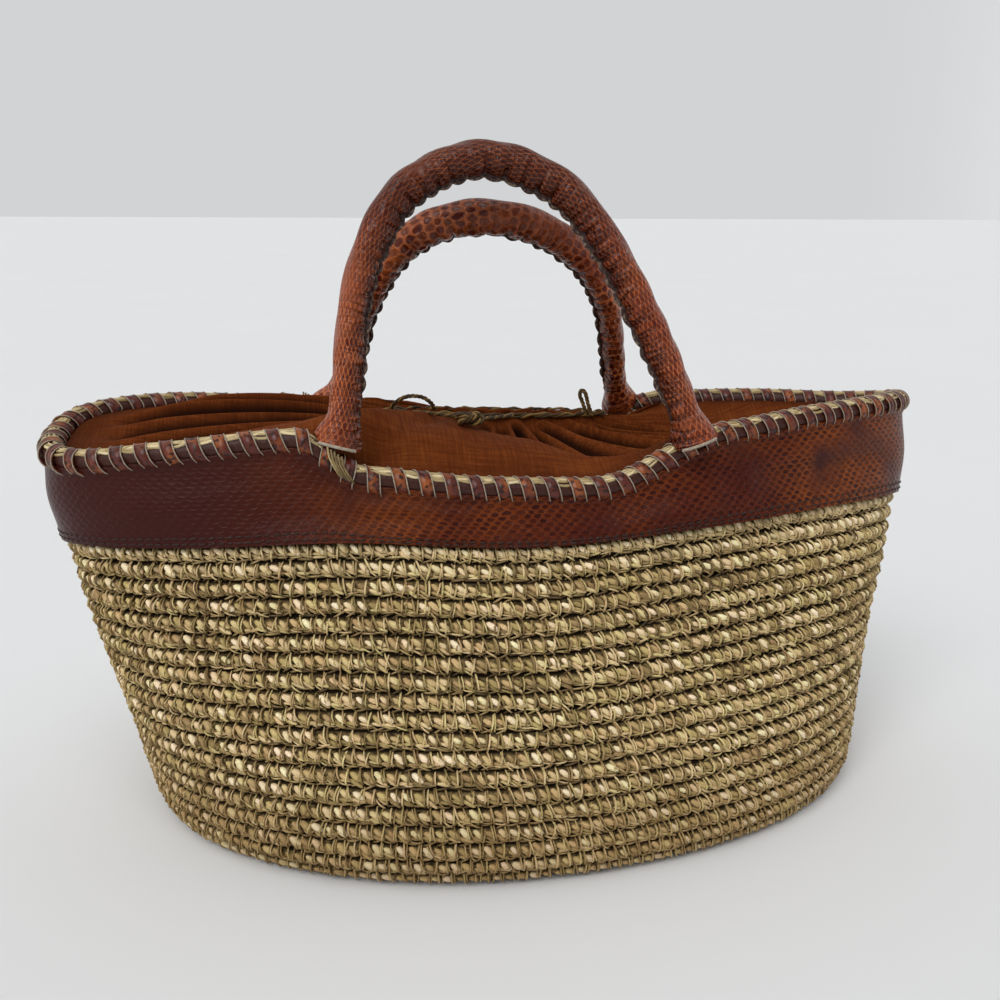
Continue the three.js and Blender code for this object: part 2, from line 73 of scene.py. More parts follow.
ahead = Vector((
    math.sin(CAMERA_YAW) * math.cos(CAMERA_PITCH),
    math.cos(CAMERA_YAW) * math.cos(CAMERA_PITCH),
    -math.sin(CAMERA_PITCH),
))
level = Vector((math.cos(CAMERA_YAW), -math.sin(CAMERA_YAW), 0.0))
upward = level.cross(ahead)
across = math.cos(CAMERA_ROLL) * level + math.sin(CAMERA_ROLL) * upward
camera_data = bpy.data.cameras.new("camera")
camera_data.sensor_width = SENSOR_WIDTH
camera_data.lens = FOCAL_LENGTH
camera_data.clip_start = 0.01
camera = bpy.data.objects.new("camera", camera_data)
camera.matrix_world = Matrix.Translation(CAMERA_PLACE) @ Matrix(
    (across, across.cross(ahead), -ahead)
).transposed().to_4x4()
scene.collection.objects.link(camera)
scene.camera = camera


# Raffia basket: nineteen rounds of crocheted raffia over a flat oval floor, worked in one piece.
# Each stitch is a plump twist of raffia held down by two thin wraps, with a loose strand under it.
# The wall behind the stitches is painted dark between the rounds, as painted shade where the light dies.
DRAWN_MIDDLE = np.array([2.0545, -0.6655, 0.0])  # where the middle of the bag's box lies as drawn
COURSES = 19
RAFFIA_THICKNESS = 5.5
STITCH = 5.4  # spacing of the stitches along a round
WALL_SHARE = (0.0, 0.03, 0.1, 0.33, 0.55, 0.77, 1.0)  # of the rise from the floor to the band
WALL_OVALS = {
    "left": (165, 173, 177, 185, 193.5, 202, 208.5),
    "right": (184, 191, 194, 199, 203.5, 211, 216),
    "depth": (108, 116, 119.5, 112, 101, 88, 74),
    "full_left": (2.0, 2.0, 2.05, 2.1, 2.15, 2.2, 2.3),
    "full_right": (2.1, 2.1, 2.1, 2.05, 2.05, 2.0, 1.95),
}
EDGE_TURNS = (0, 25, 45, 65, 90, 112, 135, 160, 180, 205, 230, 252, 271, 295, 315, 338)
BAND_FOOT = (143, 145, 146, 146, 144, 146, 146, 143, 139, 142.5, 146, 148.5, 143.5, 147, 149.5, 147.5)
BASKET_DENTS = (  # turn, share, reach round, reach up, push outwards
    (300, 0.85, 16, 0.3, -3.0),
    (255, 0.2, 30, 0.2, 2.0),
    (236, 0.6, 18, 0.3, -2.5),
    (75, 0.6, 30, 0.35, -3.0),
)


def curve_through(at, values, period=0.0):
    """A smooth curve through values at places. A period closes it on itself."""
    at = np.array(at, float)
    values = np.array(values, float)
    if period:
        at = np.concatenate([at[-2:] - period, at, at[:2] + period])
        values = np.concatenate([values[-2:], values, values[:2]])
    last = len(at) - 1
    before = np.maximum(np.arange(len(at)) - 1, 0)
    after = np.minimum(np.arange(len(at)) + 1, last)
    slope = (values[after] - values[before]) / (at[after] - at[before])

    def curve(where):
        where = np.asarray(where, float)
        if period:
            where = where % period
        i = np.clip(np.searchsorted(at, where, side="right") - 1, 0, last - 1)
        width = at[i + 1] - at[i]
        t = (where - at[i]) / width
        rise = (1 + 2 * t) * (1 - t) ** 2 * values[i] + t * (1 - t) ** 2 * width * slope[i]
        return rise + t * t * (3 - 2 * t) * values[i + 1] + t * t * (t - 1) * width * slope[i + 1]

    return curve


def bell(x):
    """1 at 0, fading out beyond 1."""
    return np.exp(-x * x)


def smoothstep(x, low, high):
    t = np.clip((x - low) / (high - low), 0, 1)
    return t * t * (3 - 2 * t)


def turn_from(a, b):
    """The shorter way round from one turn to another."""
    return (a - b + 180) % 360 - 180


def dent_at(dents, turn, up):
    """The sum of a table of dents at a place."""
    return sum(
        push * bell(turn_from(turn, at) / reach) * bell((up - height) / reach_up)
        for at, height, reach, reach_up, push in dents
    )


def oval_point(oval, turn, outwards=0.0):
    """Points on an oval whose halves may differ, pushed outwards along its normal."""
    def at(degrees):
        c = np.cos(np.radians(degrees))
        s = np.sin(np.radians(degrees))
        power = 2 / np.where(c < 0, oval["full_left"], oval["full_right"])
        length = np.where(c < 0, oval["left"], oval["right"])
        x = length * np.sign(c) * np.abs(c) ** power
        y = oval["depth"] * np.sign(s) * np.abs(s) ** power
        return np.stack(np.broadcast_arrays(x, y), -1)

    along = at(turn + 0.5) - at(turn - 0.5)
    along /= np.linalg.norm(along, axis=-1, keepdims=True)
    normal = np.stack([along[..., 1], -along[..., 0]], -1)
    return at(turn) + normal * np.asarray(outwards)[..., None]


wall_curves = {column: curve_through(WALL_SHARE, values) for column, values in WALL_OVALS.items()}
band_foot_at = curve_through(EDGE_TURNS, BAND_FOOT, 360)


def wall_oval(share):
    return {column: curve(share) for column, curve in wall_curves.items()}


def basket_point(turn, share, outwards):
    """Points on the raffia wall: share runs from 0 at the floor to 1 at the band's foot."""
    turn, share = np.broadcast_arrays(turn, share)
    plan = oval_point(wall_oval(share), turn, outwards + dent_at(BASKET_DENTS, turn, share))
    return np.concatenate([plan, (share * band_foot_at(turn))[..., None]], -1)


def at_height(plan, height):
    """Points of a plan, all at one height."""
    return np.column_stack([plan, np.full(len(plan), height)])


def unit(vectors):
    return vectors / np.linalg.norm(vectors, axis=-1, keepdims=True)


def turns(count, start=0.0):
    """Evenly spaced turns round the bag."""
    return start + np.arange(count) * 360 / count


def lengths_along(points, closed=True):
    """Distance travelled along a row of points, with the way back to the first if it is closed."""
    ends = np.concatenate([points, points[:1]]) if closed else points
    steps = np.linalg.norm(np.diff(ends, axis=0), axis=-1)
    return np.concatenate([[0.0], np.cumsum(steps)])


def to_metres(points):
    return (np.reshape(points, (-1, 3)) - DRAWN_MIDDLE) * 0.001


def lofted(name, rings, material, loop=True, surface=None):
    """A closed piece skinned over rings of points, its faces outwards.
    A loop joins its last ring to its first, else the ends are capped.
    surface gives the UV map in millimetres: places round a ring, with the end of the round, and up the rings,
    one row of them for each ring where they differ round it."""
    rings = np.asarray(rings)
    count, sides = rings.shape[:2]
    faces, places = [], []
    for row in range(count if loop else count - 1):
        for side in range(sides):
            corners = ((row, side), (row, side + 1), (row + 1, side + 1), (row + 1, side))
            faces.append([(r % count) * sides + s % sides for r, s in corners])
            places += corners
    if not loop:
        faces.append(list(range(sides - 1, -1, -1)))
        faces.append(list(range((count - 1) * sides, count * sides)))
        places += [(0, side) for side in range(sides - 1, -1, -1)]
        places += [(count - 1, side) for side in range(sides)]
    mesh = bpy.data.meshes.new(name)
    mesh.from_pydata(to_metres(rings).tolist(), [], faces)
    if surface:
        round_at, up_at = (np.asarray(values) for values in surface)
        rows, columns = np.array(places).T
        layer = mesh.uv_layers.new(name="surface")
        up = up_at[rows] if up_at.ndim == 1 else up_at[rows, columns % sides]
        uv = np.stack([round_at[columns], up], -1)
        layer.data.foreach_set("uv", uv.ravel())
    mesh.materials.append(material)
    mesh.shade_smooth()
    mesh.update()
    shell = bmesh.new()
    shell.from_mesh(mesh)
    bmesh.ops.recalc_face_normals(shell, faces=shell.faces)
    shell.to_mesh(mesh)
    shell.free()
    piece = bpy.data.objects.new(name, mesh)
    scene.collection.objects.link(piece)
    return piece


def belongs(piece, slot, *nodes):
    """Every piece rides on the one body and may stand for solids. The slot is not used."""
    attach(piece, "root")
    if nodes:
        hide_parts(*nodes)


class Wire:
    """One output of a node. Sums and products of wires add Math nodes to the same tree."""

    def __init__(self, tree, socket):
        self.tree = tree
        self.socket = socket

    def node(self, kind, settings=None, inputs=None, output=0):
        """A node of any kind in the same tree: its settings, then the values or wires of its sockets."""
        made = self.tree.nodes.new(kind)
        for setting, value in (settings or {}).items():
            if setting == "stops":
                ramp = made.color_ramp.elements
                while len(ramp) < len(value):
                    ramp.new(1.0)
                for stop, (place, colour) in zip(ramp, value):
                    stop.position = place
                    stop.color = (*colour, 1.0)
            else:
                setattr(made, setting, value)
        for key, value in (inputs or {}).items():
            if isinstance(value, Wire):
                self.tree.links.new(value.socket, made.inputs[key])
            else:
                made.inputs[key].default_value = value
        return Wire(self.tree, made.outputs[output])

    def maths(self, operation, *values):
        values = dict(enumerate((self, *values)))
        return self.node("ShaderNodeMath", {"operation": operation}, values)

    def __add__(self, other):
        return self.maths("ADD", other)

    def __sub__(self, other):
        return self.maths("SUBTRACT", other)

    def __rsub__(self, other):
        return self.node("ShaderNodeMath", {"operation": "SUBTRACT"}, {0: other, 1: self})

    def __mul__(self, other):
        return self.maths("MULTIPLY", other)

    def __truediv__(self, other):
        return self.maths("DIVIDE", other)

    def ramp(self, low, high):
        """0 below low, 1 above high, smooth between."""
        settings = {"interpolation_type": "SMOOTHSTEP"}
        return self.node("ShaderNodeMapRange", settings, {"Value": self, "From Min": low, "From Max": high})

    def between(self, low, high):
        """A colour between two, by this factor."""
        inputs = {0: self}
        for key, colour in ((6, low), (7, high)):
            inputs[key] = (*colour, 1.0) if isinstance(colour, tuple) else colour
        return self.node("ShaderNodeMix", {"data_type": "RGBA"}, inputs, 2)

    def part(self, axis):
        """One part of a vector."""
        return self.node("ShaderNodeSeparateXYZ", inputs={0: self}, output=axis)

    def on_surface(self):
        """The place on the piece's own UV map."""
        return self.node("ShaderNodeUVMap", {"uv_map": "surface"})

    def stored(self, name, output=2):
        """A number stored on the mesh, or a vector by output 1."""
        return self.node("ShaderNodeAttribute", {"attribute_name": name}, output=output)


def joined(x, y, z):
    """A vector of three wires or numbers, of which the first is a wire."""
    return x.node("ShaderNodeCombineXYZ", inputs={0: x, 1: y, 2: z})


def noise(vector, scale, detail=2.0):
    """Soft noise from 0 to 1 over a vector, with scale in lumps to the vector's unit."""
    return vector.node("ShaderNodeTexNoise", inputs={"Vector": vector, "Scale": scale, "Detail": detail})


def new_material(name, roughness, **sockets):
    """A Principled material with its even sockets set, and the wire of places on the piece, in metres."""
    material = bpy.data.materials.new(name)
    material.use_nodes = True
    shader = material.node_tree.nodes["Principled BSDF"]
    shader.inputs["Roughness"].default_value = roughness
    for label, value in sockets.items():
        shader.inputs[label.replace("_", " ").title().replace("Ior", "IOR")].default_value = value
    start = material.node_tree.nodes.new("ShaderNodeTexCoord")
    return material, Wire(material.node_tree, start.outputs["Object"])


def finish_with(material, colour, roughness=None, height=None, depth=0.001, strength=1.0):
    """Wires colour, roughness and relief, depth in metres, into a material."""
    links = material.node_tree.links
    shader = material.node_tree.nodes["Principled BSDF"]
    links.new(colour.socket, shader.inputs["Base Color"])
    if roughness:
        links.new(roughness.socket, shader.inputs["Roughness"])
    if height:
        relief = {"Height": height, "Distance": depth, "Strength": strength}
        bump = height.node("ShaderNodeBump", inputs=relief)
        links.new(bump.socket, shader.inputs["Normal"])


STREAKS_ALONG = 150  # lumps to a metre, few along a strand and many across it
STREAKS_ACROSS = 1500
GREENISH = (0.92, 1.02, 0.78)  # shares of the usual colour in the strands that dried green
RUSTY = (1.03, 0.91, 0.92)  # and in those that weathered
FLOOR_TINT = (0.32, 0.195, 0.07)


def raffia_material(name, dark, middle, pale, on_basket=True):
    """Dry palm fibre: each strand has its own tone, streaks along it and a dull sheen.
    On the basket, some strands are greener or rustier, the rounds by the floor are darker and browner
    and the one under the band is paler."""
    material, place = new_material(name, 0.6, specular_ior_level=0.3)
    tone = place.stored("tone")
    grain = place.stored("grain", 1)
    # Each strand takes its streaks from another stretch of the noise.
    lengthwise = grain.part(0) * STREAKS_ALONG + tone * 40
    streak = noise(joined(lengthwise, grain.part(1) * STREAKS_ACROSS, grain.part(2) * STREAKS_ACROSS), 1.0)
    patch = noise(place, 14.0, 3.0)
    shade = tone * 0.85 + streak * 0.6 + patch * 0.5 - 0.46

    def fibre(tint):
        tinted = [tuple(part * share for part, share in zip(stop, tint)) for stop in (dark, middle, pale)]
        return shade.node("ShaderNodeValToRGB", {"stops": tuple(zip((0.0, 0.48, 0.95), tinted))}, {0: shade})

    colour = fibre((1.0, 1.0, 1.0))
    if on_basket:
        kind = (tone * 37).maths("FRACT")  # a second random number, from the digits behind the tone's first
        colour = (kind.ramp(0.55, 0.85) * 0.6).between(colour, fibre(GREENISH))
        colour = (0.5 - kind.ramp(0.1, 0.35) * 0.5).between(colour, fibre(RUSTY))
        # Darker and browner towards the floor.
        low = 1 - place.part(2).ramp(0.01, 0.06)
        high = place.part(2).ramp(0.131, 0.139)
        colour = (low * 0.55).between(colour, FLOOR_TINT)
        colour = (high * 0.3).between(colour, pale)
    finish_with(material, colour, streak * 0.2 + 0.5, streak, 0.0003, 0.7)
    return material


def geometry_tree(name, sizes):
    """A Geometry Nodes tree that takes a geometry and named sizes: the tree and its input wires by name."""
    kinds = {float: "NodeSocketFloat", int: "NodeSocketInt", bpy.types.Material: "NodeSocketMaterial"}
    tree = bpy.data.node_groups.new(name, "GeometryNodeTree")
    tree.interface.new_socket("Geometry", in_out="INPUT", socket_type="NodeSocketGeometry")
    for label, value in sizes.items():
        tree.interface.new_socket(label, in_out="INPUT", socket_type=kinds[type(value)])
    tree.interface.new_socket("Geometry", in_out="OUTPUT", socket_type="NodeSocketGeometry")
    entry = tree.nodes.new("NodeGroupInput")
    return tree, {socket.name: Wire(tree, socket) for socket in entry.outputs if socket.name}


def end_tree(tree, shape, finish):
    """Ends a tree in plain, smooth geometry of one material."""
    whole = shape.node("GeometryNodeRealizeInstances", inputs={"Geometry": shape})
    smooth = shape.node("GeometryNodeSetShadeSmooth", inputs={"Geometry": whole})
    dressed = shape.node("GeometryNodeSetMaterial", inputs={"Geometry": smooth, "Material": finish})
    leave = tree.nodes.new("NodeGroupOutput")
    tree.links.new(dressed.socket, leave.inputs[0])


def lines_mesh(name, lines, outs, closed):
    """Lines of points as a mesh of edges for a tree to follow, with the way out of the wall where given."""
    points, edges = [], []
    for line in lines:
        first = len(points)
        count = len(line)
        points += to_metres(line).tolist()
        edges += [(first + i, first + i + 1) for i in range(count - 1)]
        if closed:
            edges.append((first + count - 1, first))
    mesh = bpy.data.meshes.new(name)
    mesh.from_pydata(points, edges, [])
    if outs:
        layer = mesh.attributes.new("out", "FLOAT_VECTOR", "POINT")
        layer.data.foreach_set("vector", np.concatenate(outs).astype(np.float32).ravel())
    return mesh


def made_plain(piece):
    """Turns a piece and its modifier into a plain mesh."""
    bpy.context.view_layer.update()
    evaluated = piece.evaluated_get(bpy.context.evaluated_depsgraph_get())
    plain = bpy.data.meshes.new_from_object(evaluated)
    piece.modifiers.clear()
    piece.data = plain
    plain.name = piece.name
    return piece


def grown(name, tree, sizes, lines, outs=None, closed=True):
    """A piece that a tree grows along lines of points."""
    piece = bpy.data.objects.new(name, lines_mesh(f"{name}_lines", lines, outs, closed))
    scene.collection.objects.link(piece)
    modifier = piece.modifiers.new(tree.name, "NODES")
    modifier.node_group = tree
    for socket in tree.interface.items_tree:
        if socket.in_out == "INPUT" and socket.name in sizes:
            modifier[socket.identifier] = sizes[socket.name]
    return made_plain(piece)


def chance(start, low, high, seed):
    """A random number between two for each stitch or strand."""
    return start.node("FunctionNodeRandomValue", inputs={2: low, 3: high, 8: seed}, output=1)


def marked(shape, label, value, kind, domain):
    """Stores a value on a geometry, for a material to read."""
    settings = {"data_type": kind, "domain": domain}
    inputs = {"Geometry": shape, "Name": label, "Value": value}
    return shape.node("GeometryNodeStoreNamedAttribute", settings, inputs)


def round_section(start, sides, radius):
    return start.node("GeometryNodeCurvePrimitiveCircle", inputs={"Resolution": sides, "Radius": radius})


def swept(path, section, capped=False):
    """A section drawn along a path."""
    inputs = {"Curve": path, "Profile Curve": section, "Fill Caps": capped}
    return path.node("GeometryNodeCurveToMesh", inputs=inputs)


STRAY_UP = 0.35  # a stitch strays less up the wall than along its round


def stitch_tree(name, sizes, shape):
    """A tree that sets one shape at even spaces along lines.
    The shape's X lies along the line and its Z points out of the wall."""
    lay = dict.fromkeys(("Spacing", "Lean", "Lean Spread", "Size Spread", "Stray"), 0.0)
    tree, given = geometry_tree(name, {**sizes, **lay, "Seed": 0, "Finish": bpy.data.materials[0]})
    lines = given["Geometry"]
    curve = lines.node("GeometryNodeMeshToCurve", inputs={"Mesh": lines})
    even = {"Curve": curve, "Length": given["Spacing"]}
    points = lines.node("GeometryNodeResampleCurve", {"mode": "LENGTH"}, even)
    out = lines.node("GeometryNodeInputNamedAttribute", {"data_type": "FLOAT_VECTOR"}, {"Name": "out"})
    along = lines.node("GeometryNodeInputTangent")
    axes = {"primary_axis": "X", "secondary_axis": "Z"}
    upright = lines.node("FunctionNodeAxesToRotation", axes, {0: along, 1: out})
    seed = given["Seed"]
    lean = chance(lines, given["Lean"] - given["Lean Spread"], given["Lean"] + given["Lean Spread"], seed)
    flat = lean.node("ShaderNodeCombineXYZ", inputs={2: lean})
    swing = lines.node("FunctionNodeEulerToRotation", inputs={0: flat})
    settings = {"rotation_space": "LOCAL"}
    turned = lines.node("FunctionNodeRotateRotation", settings, {0: upright, 1: swing})
    size = chance(lines, 1 - given["Size Spread"], given["Size Spread"] + 1, seed + 1)
    spot = lines.node("GeometryNodeInputPosition")
    one = marked(shape(lines, given), "grain", spot, "FLOAT_VECTOR", "POINT")
    setting = {"Points": points, "Instance": one, "Rotation": turned, "Scale": size}
    set_out = lines.node("GeometryNodeInstanceOnPoints", inputs=setting)
    shift = joined(given["Stray"], given["Stray"] * STRAY_UP, 0.0)
    back = shift.node("ShaderNodeVectorMath", {"operation": "SCALE"}, {0: shift, "Scale": -1.0})
    stray = {0: back, 1: shift, 8: seed + 3}
    stray = lines.node("FunctionNodeRandomValue", {"data_type": "FLOAT_VECTOR"}, stray)
    moved = {"Instances": set_out, "Translation": stray}
    set_out = lines.node("GeometryNodeTranslateInstances", inputs=moved)
    toned = marked(set_out, "tone", chance(lines, 0.0, 1.0, seed + 2), "FLOAT", "INSTANCE")
    end_tree(tree, toned, given["Finish"])
    return tree


def leaf_shape(lines, given):
    """A plump fold of raffia, pointed at both ends, that lies along the round."""
    ball = {"Segments": 5, "Rings": 4, "Radius": 1.0}
    ball = lines.node("GeometryNodeMeshUVSphere", inputs=ball)
    size = joined(given["Thickness"], given["Height"], given["Length"])
    shaped = lines.node("GeometryNodeTransform", inputs={"Geometry": ball, "Scale": size})
    seat = joined(given["Along"], given["Rise"], given["Sink"] * -1)
    poles_along = (0.0, math.pi / 2, 0.0)
    turned = {"Geometry": shaped, "Translation": seat, "Rotation": poles_along}
    return lines.node("GeometryNodeTransform", inputs=turned)


def strand_shape(lines, given):
    """A thin strand bowed out of the wall, from one place on the stitch to another."""
    middle_x = given["Start X"] * 0.5 + given["End X"] * 0.5
    middle_y = given["Start Y"] * 0.5 + given["End Y"] * 0.5
    bow = {
        "Resolution": 4,
        "Start": joined(given["Start X"], given["Start Y"], given["Sink"] * -1),
        "Middle": joined(middle_x, middle_y, given["Bow"] * 2 + given["Sink"]),
        "End": joined(given["End X"], given["End Y"], given["Sink"] * -1),
    }
    path = lines.node("GeometryNodeCurveQuadraticBezier", inputs=bow)
    return swept(path, round_section(lines, 3, given["Radius"]))


def tube_tree(name):
    """A tree that makes round strands along lines."""
    sizes = {"Radius": 0.0, "Sides": 0, "Seed": 0, "Finish": bpy.data.materials[0]}
    tree, given = geometry_tree(name, sizes)
    lines = given["Geometry"]
    curve = lines.node("GeometryNodeMeshToCurve", inputs={"Mesh": lines})
    curve = marked(curve, "tone", chance(lines, 0.0, 1.0, given["Seed"]), "FLOAT", "CURVE")
    length = lines.node("GeometryNodeSplineParameter", output=1)
    curve = marked(curve, "grain", joined(length, 0.0, 0.0), "FLOAT_VECTOR", "POINT")
    tube = swept(curve, round_section(lines, given["Sides"], given["Radius"]), capped=True)
    end_tree(tree, tube, given["Finish"])
    return tree


ROUND_SINK = -1.5  # the rounds' middle lines lie this far inside the wall's outer face


def wall_rounds():
    """The middle line of each round on the wall, starting at its own turn so that stitches don't line up."""
    dice = np.random.default_rng(7)
    lines, outs = [], []
    half = 0.5 / COURSES
    for course in range(COURSES):
        turn = turns(360, dice.uniform(0, 360))
        share = (course + 0.5) / COURSES
        line = basket_point(turn, share, ROUND_SINK)
        up = basket_point(turn, share + half, 0.0) - basket_point(turn, share - half, 0.0)
        along = np.roll(line, -1, 0) - np.roll(line, 1, 0)
        lines.append(line)
        outs.append(unit(np.cross(along, up)))
    return lines, outs


FLOOR_LINE = 2.4  # height of the floor rounds' middle line
FLOOR_ROUNDS = 14
FLOOR_SIDES = 240
FLOOR_SHIFT = 37.0  # each round starts this much further round, so that stitches don't line up
COURSE_PITCH = 7.9


def floor_rounds():
    """The middle line of each round of the floor, one inside the other."""
    lines, outs = [], []
    base = {column: values[0] for column, values in WALL_OVALS.items()}
    for ring in range(FLOOR_ROUNDS):
        inset = (ring + 0.5) * COURSE_PITCH
        oval = {**base, **{side: base[side] - inset for side in ("left", "right", "depth")}}
        plan = oval_point(oval, turns(FLOOR_SIDES, FLOOR_SHIFT * ring))
        lines.append(at_height(plan, FLOOR_LINE))
        outs.append(np.tile((0.0, 0.0, -1.0), (len(plan), 1)))
    return lines, outs


raffia_material("raffia_twists", (0.24, 0.15, 0.057), (0.64, 0.456, 0.21), (1.0, 0.84, 0.58))
raffia_material("raffia_wraps", (0.13, 0.082, 0.029), (0.41, 0.284, 0.119), (0.78, 0.6, 0.32))
# A darker copy of the raffia for the strands that lie deep under the stitches: painted shade.
raffia_material("raffia_under", (0.05, 0.03, 0.0125), (0.18, 0.116, 0.05), (0.46, 0.335, 0.16))

# Painted shade: the wall's colour goes near black in the gaps between the rounds, and lighter where a round
# swells out.
shadow_raffia, place = new_material("raffia_shadow", 0.9, specular_ior_level=0.1)
wall_place = place.on_surface()
swelling = (wall_place.part(1).maths("FRACT") * math.pi).maths("SINE")
strands = noise(joined(wall_place.part(0) * 0.5, wall_place.part(1) * 5.0, 0.0), 1.0, 3.0)
depths = swelling.ramp(0.35, 0.85) * strands.ramp(0.25, 0.75)
shaded_gap_colour = depths.between((0.012, 0.007, 0.003), (0.3, 0.21, 0.09))
finish_with(shadow_raffia, shaded_gap_colour, height=strands, depth=0.001)

WALL_SINK = -4.4
WALL_FLOOR = 4.2  # height of the wall's underside, over the stitches of the floor
WALL_START = 0.6  # of the first round, where the wall leaves the floor
INNER_FOOT = 0.08  # share of the rise where the inner face meets the floor
ROUND_SWELL = 2.1  # how far the raffia inside a round swells out of the gap beside it
ROUND_STEPS = (0.0, 0.14, 0.32, 0.5, 0.68, 0.86)
WALL_SIDES = 144
around = turns(WALL_SIDES)
floor_low = at_height(oval_point(wall_oval(0.0), around, WALL_SINK), WALL_FLOOR)
floor_top = at_height(oval_point(wall_oval(0.0), around, -RAFFIA_THICKNESS), RAFFIA_THICKNESS)
rows = [course + step for course in range(COURSES) for step in ROUND_STEPS if course + step > WALL_START]
rows.append(COURSES)
outer_wall = [
    basket_point(around, row / COURSES, WALL_SINK + ROUND_SWELL * abs(math.sin(math.pi * row)) ** 0.7)
    for row in rows
]
HIDDEN_EDGE = ((0.6, 1.6), (-3.4, 4.5), (-6.5, 4.5))  # out and up from the wall's top, behind the band
edge = [
    np.column_stack([oval_point(wall_oval(1.0), around, out), band_foot_at(around) + rise])
    for out, rise in HIDDEN_EDGE
]
inner_wall = [basket_point(around, share, -RAFFIA_THICKNESS) for share in np.linspace(1.0, INNER_FOOT, 16)]
wall_rings = [floor_low, *outer_wall, *edge, *inner_wall, floor_top]
wall_rows = np.full(len(wall_rings), COURSES - 0.5)
wall_rows[:len(rows) + 1] = [0.5, *rows]
basket_wall = lofted("basket_wall", wall_rings, shadow_raffia, loop=False,
                     surface=(lengths_along(outer_wall[0]), wall_rows))
belongs(basket_wall, "raffia", "basket")

leaf_sizes = dict.fromkeys(("Along", "Rise", "Sink", "Length", "Height", "Thickness"), 0.0)
leaf_tree = stitch_tree("raffia_leaf", leaf_sizes, leaf_shape)
strand_sizes = dict.fromkeys(("Start X", "Start Y", "End X", "End Y", "Sink", "Bow", "Radius"), 0.0)
strand_tree = stitch_tree("raffia_strand", strand_sizes, strand_shape)

LEAVES = {  # the plump folds of a stitch: their sizes, then lean and its spread, and the raffia
    "fold_high": ((-0.3, 0.6, 0.3, 3.0, 1.55, 1.6), (-0.6, 0.25), "raffia_twists"),
    "fold_low": ((0.7, -1.3, 0.8, 3.2, 1.0, 1.3), (-0.3, 0.4), "raffia_wraps"),
}
STRANDS = {  # the thin strands: start and end across and up the stitch, sink, bow and radius, then as above
    "wrap_left": ((0.9, 3.9, 1.9, -3.1, 2.2, 1.4, 0.5), (-0.1, 0.3), "raffia_wraps"),
    "wrap_right": ((2.5, 3.8, 2.9, -3.3, 2.2, 1.3, 0.48), (0.1, 0.35), "raffia_wraps"),
    "under_strand": ((-2.9, -3.7, 3.1, -2.3, 2.1, -0.4, 0.55), (0.0, 0.4), "raffia_under"),
    "cross_strand": ((-3.0, -1.5, 2.8, -3.4, 2.1, 0.1, 0.45), (0.0, 0.5), "raffia_wraps"),
}
FLOOR_PARTS = ("fold_high", "wrap_left")  # all that shows of a stitch from below
for where, (lines, outs) in (("wall", wall_rounds()), ("floor", floor_rounds())):
    seed = 11
    for tree, columns, parts in ((leaf_tree, leaf_sizes, LEAVES), (strand_tree, strand_sizes, STRANDS)):
        for part, (row, (lean, spread), raffia) in parts.items():
            if where == "floor" and part not in FLOOR_PARTS:
                continue
            sizes = {
                **dict(zip(columns, np.array(row) * 0.001)),
                "Spacing": STITCH * 0.001, "Size Spread": 0.18, "Stray": 0.0006,
                "Lean": lean, "Lean Spread": spread, "Seed": seed, "Finish": bpy.data.materials[raffia],
            }
            belongs(grown(f"raffia_{part}_{where}", tree, sizes, lines, outs), "raffia")
            seed += 7


# Leather band: a strip of glossy snake-grain leather, sewn to the last round by two rows of stitches.
# It stands up to the rim, and sags and creases between the handles. Its left end is almost bare of scales.
GAP = 0.35
LEATHER_THICKNESS = 2.0
ROLL_RADIUS = 5.8
BAND_HEAD_OUT = 2.5  # how far out of the roll's middle line the band meets it
BAND_HEIGHT = 44.0  # about, from the sewn foot to the roll
MOUTH = {"left": 211, "right": 214.5, "depth": 60, "full_left": 2.7, "full_right": 1.8}
RIM_HEIGHT = (191, 187.3, 187, 185, 187, 187.5, 191.5, 189.5, 183, 180, 186, 192, 189, 186, 191.5, 193)
SCOOP_SLIDE = 0.18  # a scooped rim slides out, down the band's slope
SCOOPS = ((248, 300, 9, 19, 17), (254, 296, 18, 18, 5), (60, 112, 13, 13, 20))  # from, to, falls, depth
BAND_DENTS = (  # turn, height up the band, reach round, reach up, push outwards
    (292, 0.25, 9, 0.35, 3.2),
    (318, 0.45, 16, 0.22, -3.4),
    (322, 0.85, 18, 0.2, 1.6),
    (0, 0.5, 18, 0.5, 2.4),
    (180, 0.65, 18, 0.5, 2.2),
    (246, 0.3, 9, 0.3, -2.2),
    (222, 0.55, 14, 0.35, 1.8),
    (60, 0.45, 14, 0.3, -2.6),
    (128, 0.5, 16, 0.3, -2.2),
)
BAND_CREASES = (
    (299, 0.62, 1.6, 0.3, -0.8),
    (302, 0.5, 1.5, 0.25, 0.7),
    (306, 0.6, 3.0, 0.1, -0.7),
    (312, 0.3, 7.0, 0.07, -0.7),
    (330, 0.25, 9.0, 0.08, 0.6),
    (257, 0.5, 3.5, 0.16, -0.7),
    (262, 0.75, 5.0, 0.1, 0.5),
    (238, 0.8, 6.0, 0.1, -0.6),
    (100, 0.5, 3.0, 0.2, -0.7),
    (72, 0.6, 3.0, 0.2, -0.7),
)

shoulder_at = curve_through(EDGE_TURNS, RIM_HEIGHT, 360)


def scoop_at(turn):
    """How far the rim is scooped down."""
    turn = turn % 360
    return sum(
        depth * (smoothstep(turn, start, start + first) - smoothstep(turn, end - last, end))
        for start, end, first, last, depth in SCOOPS
    )


def rim_point(turn):
    """Points on the middle line of the rim roll."""
    scoop = scoop_at(turn)
    plan = oval_point(MOUTH, turn, SCOOP_SLIDE * scoop)
    return np.concatenate([plan, (shoulder_at(turn) - scoop)[..., None]], -1)


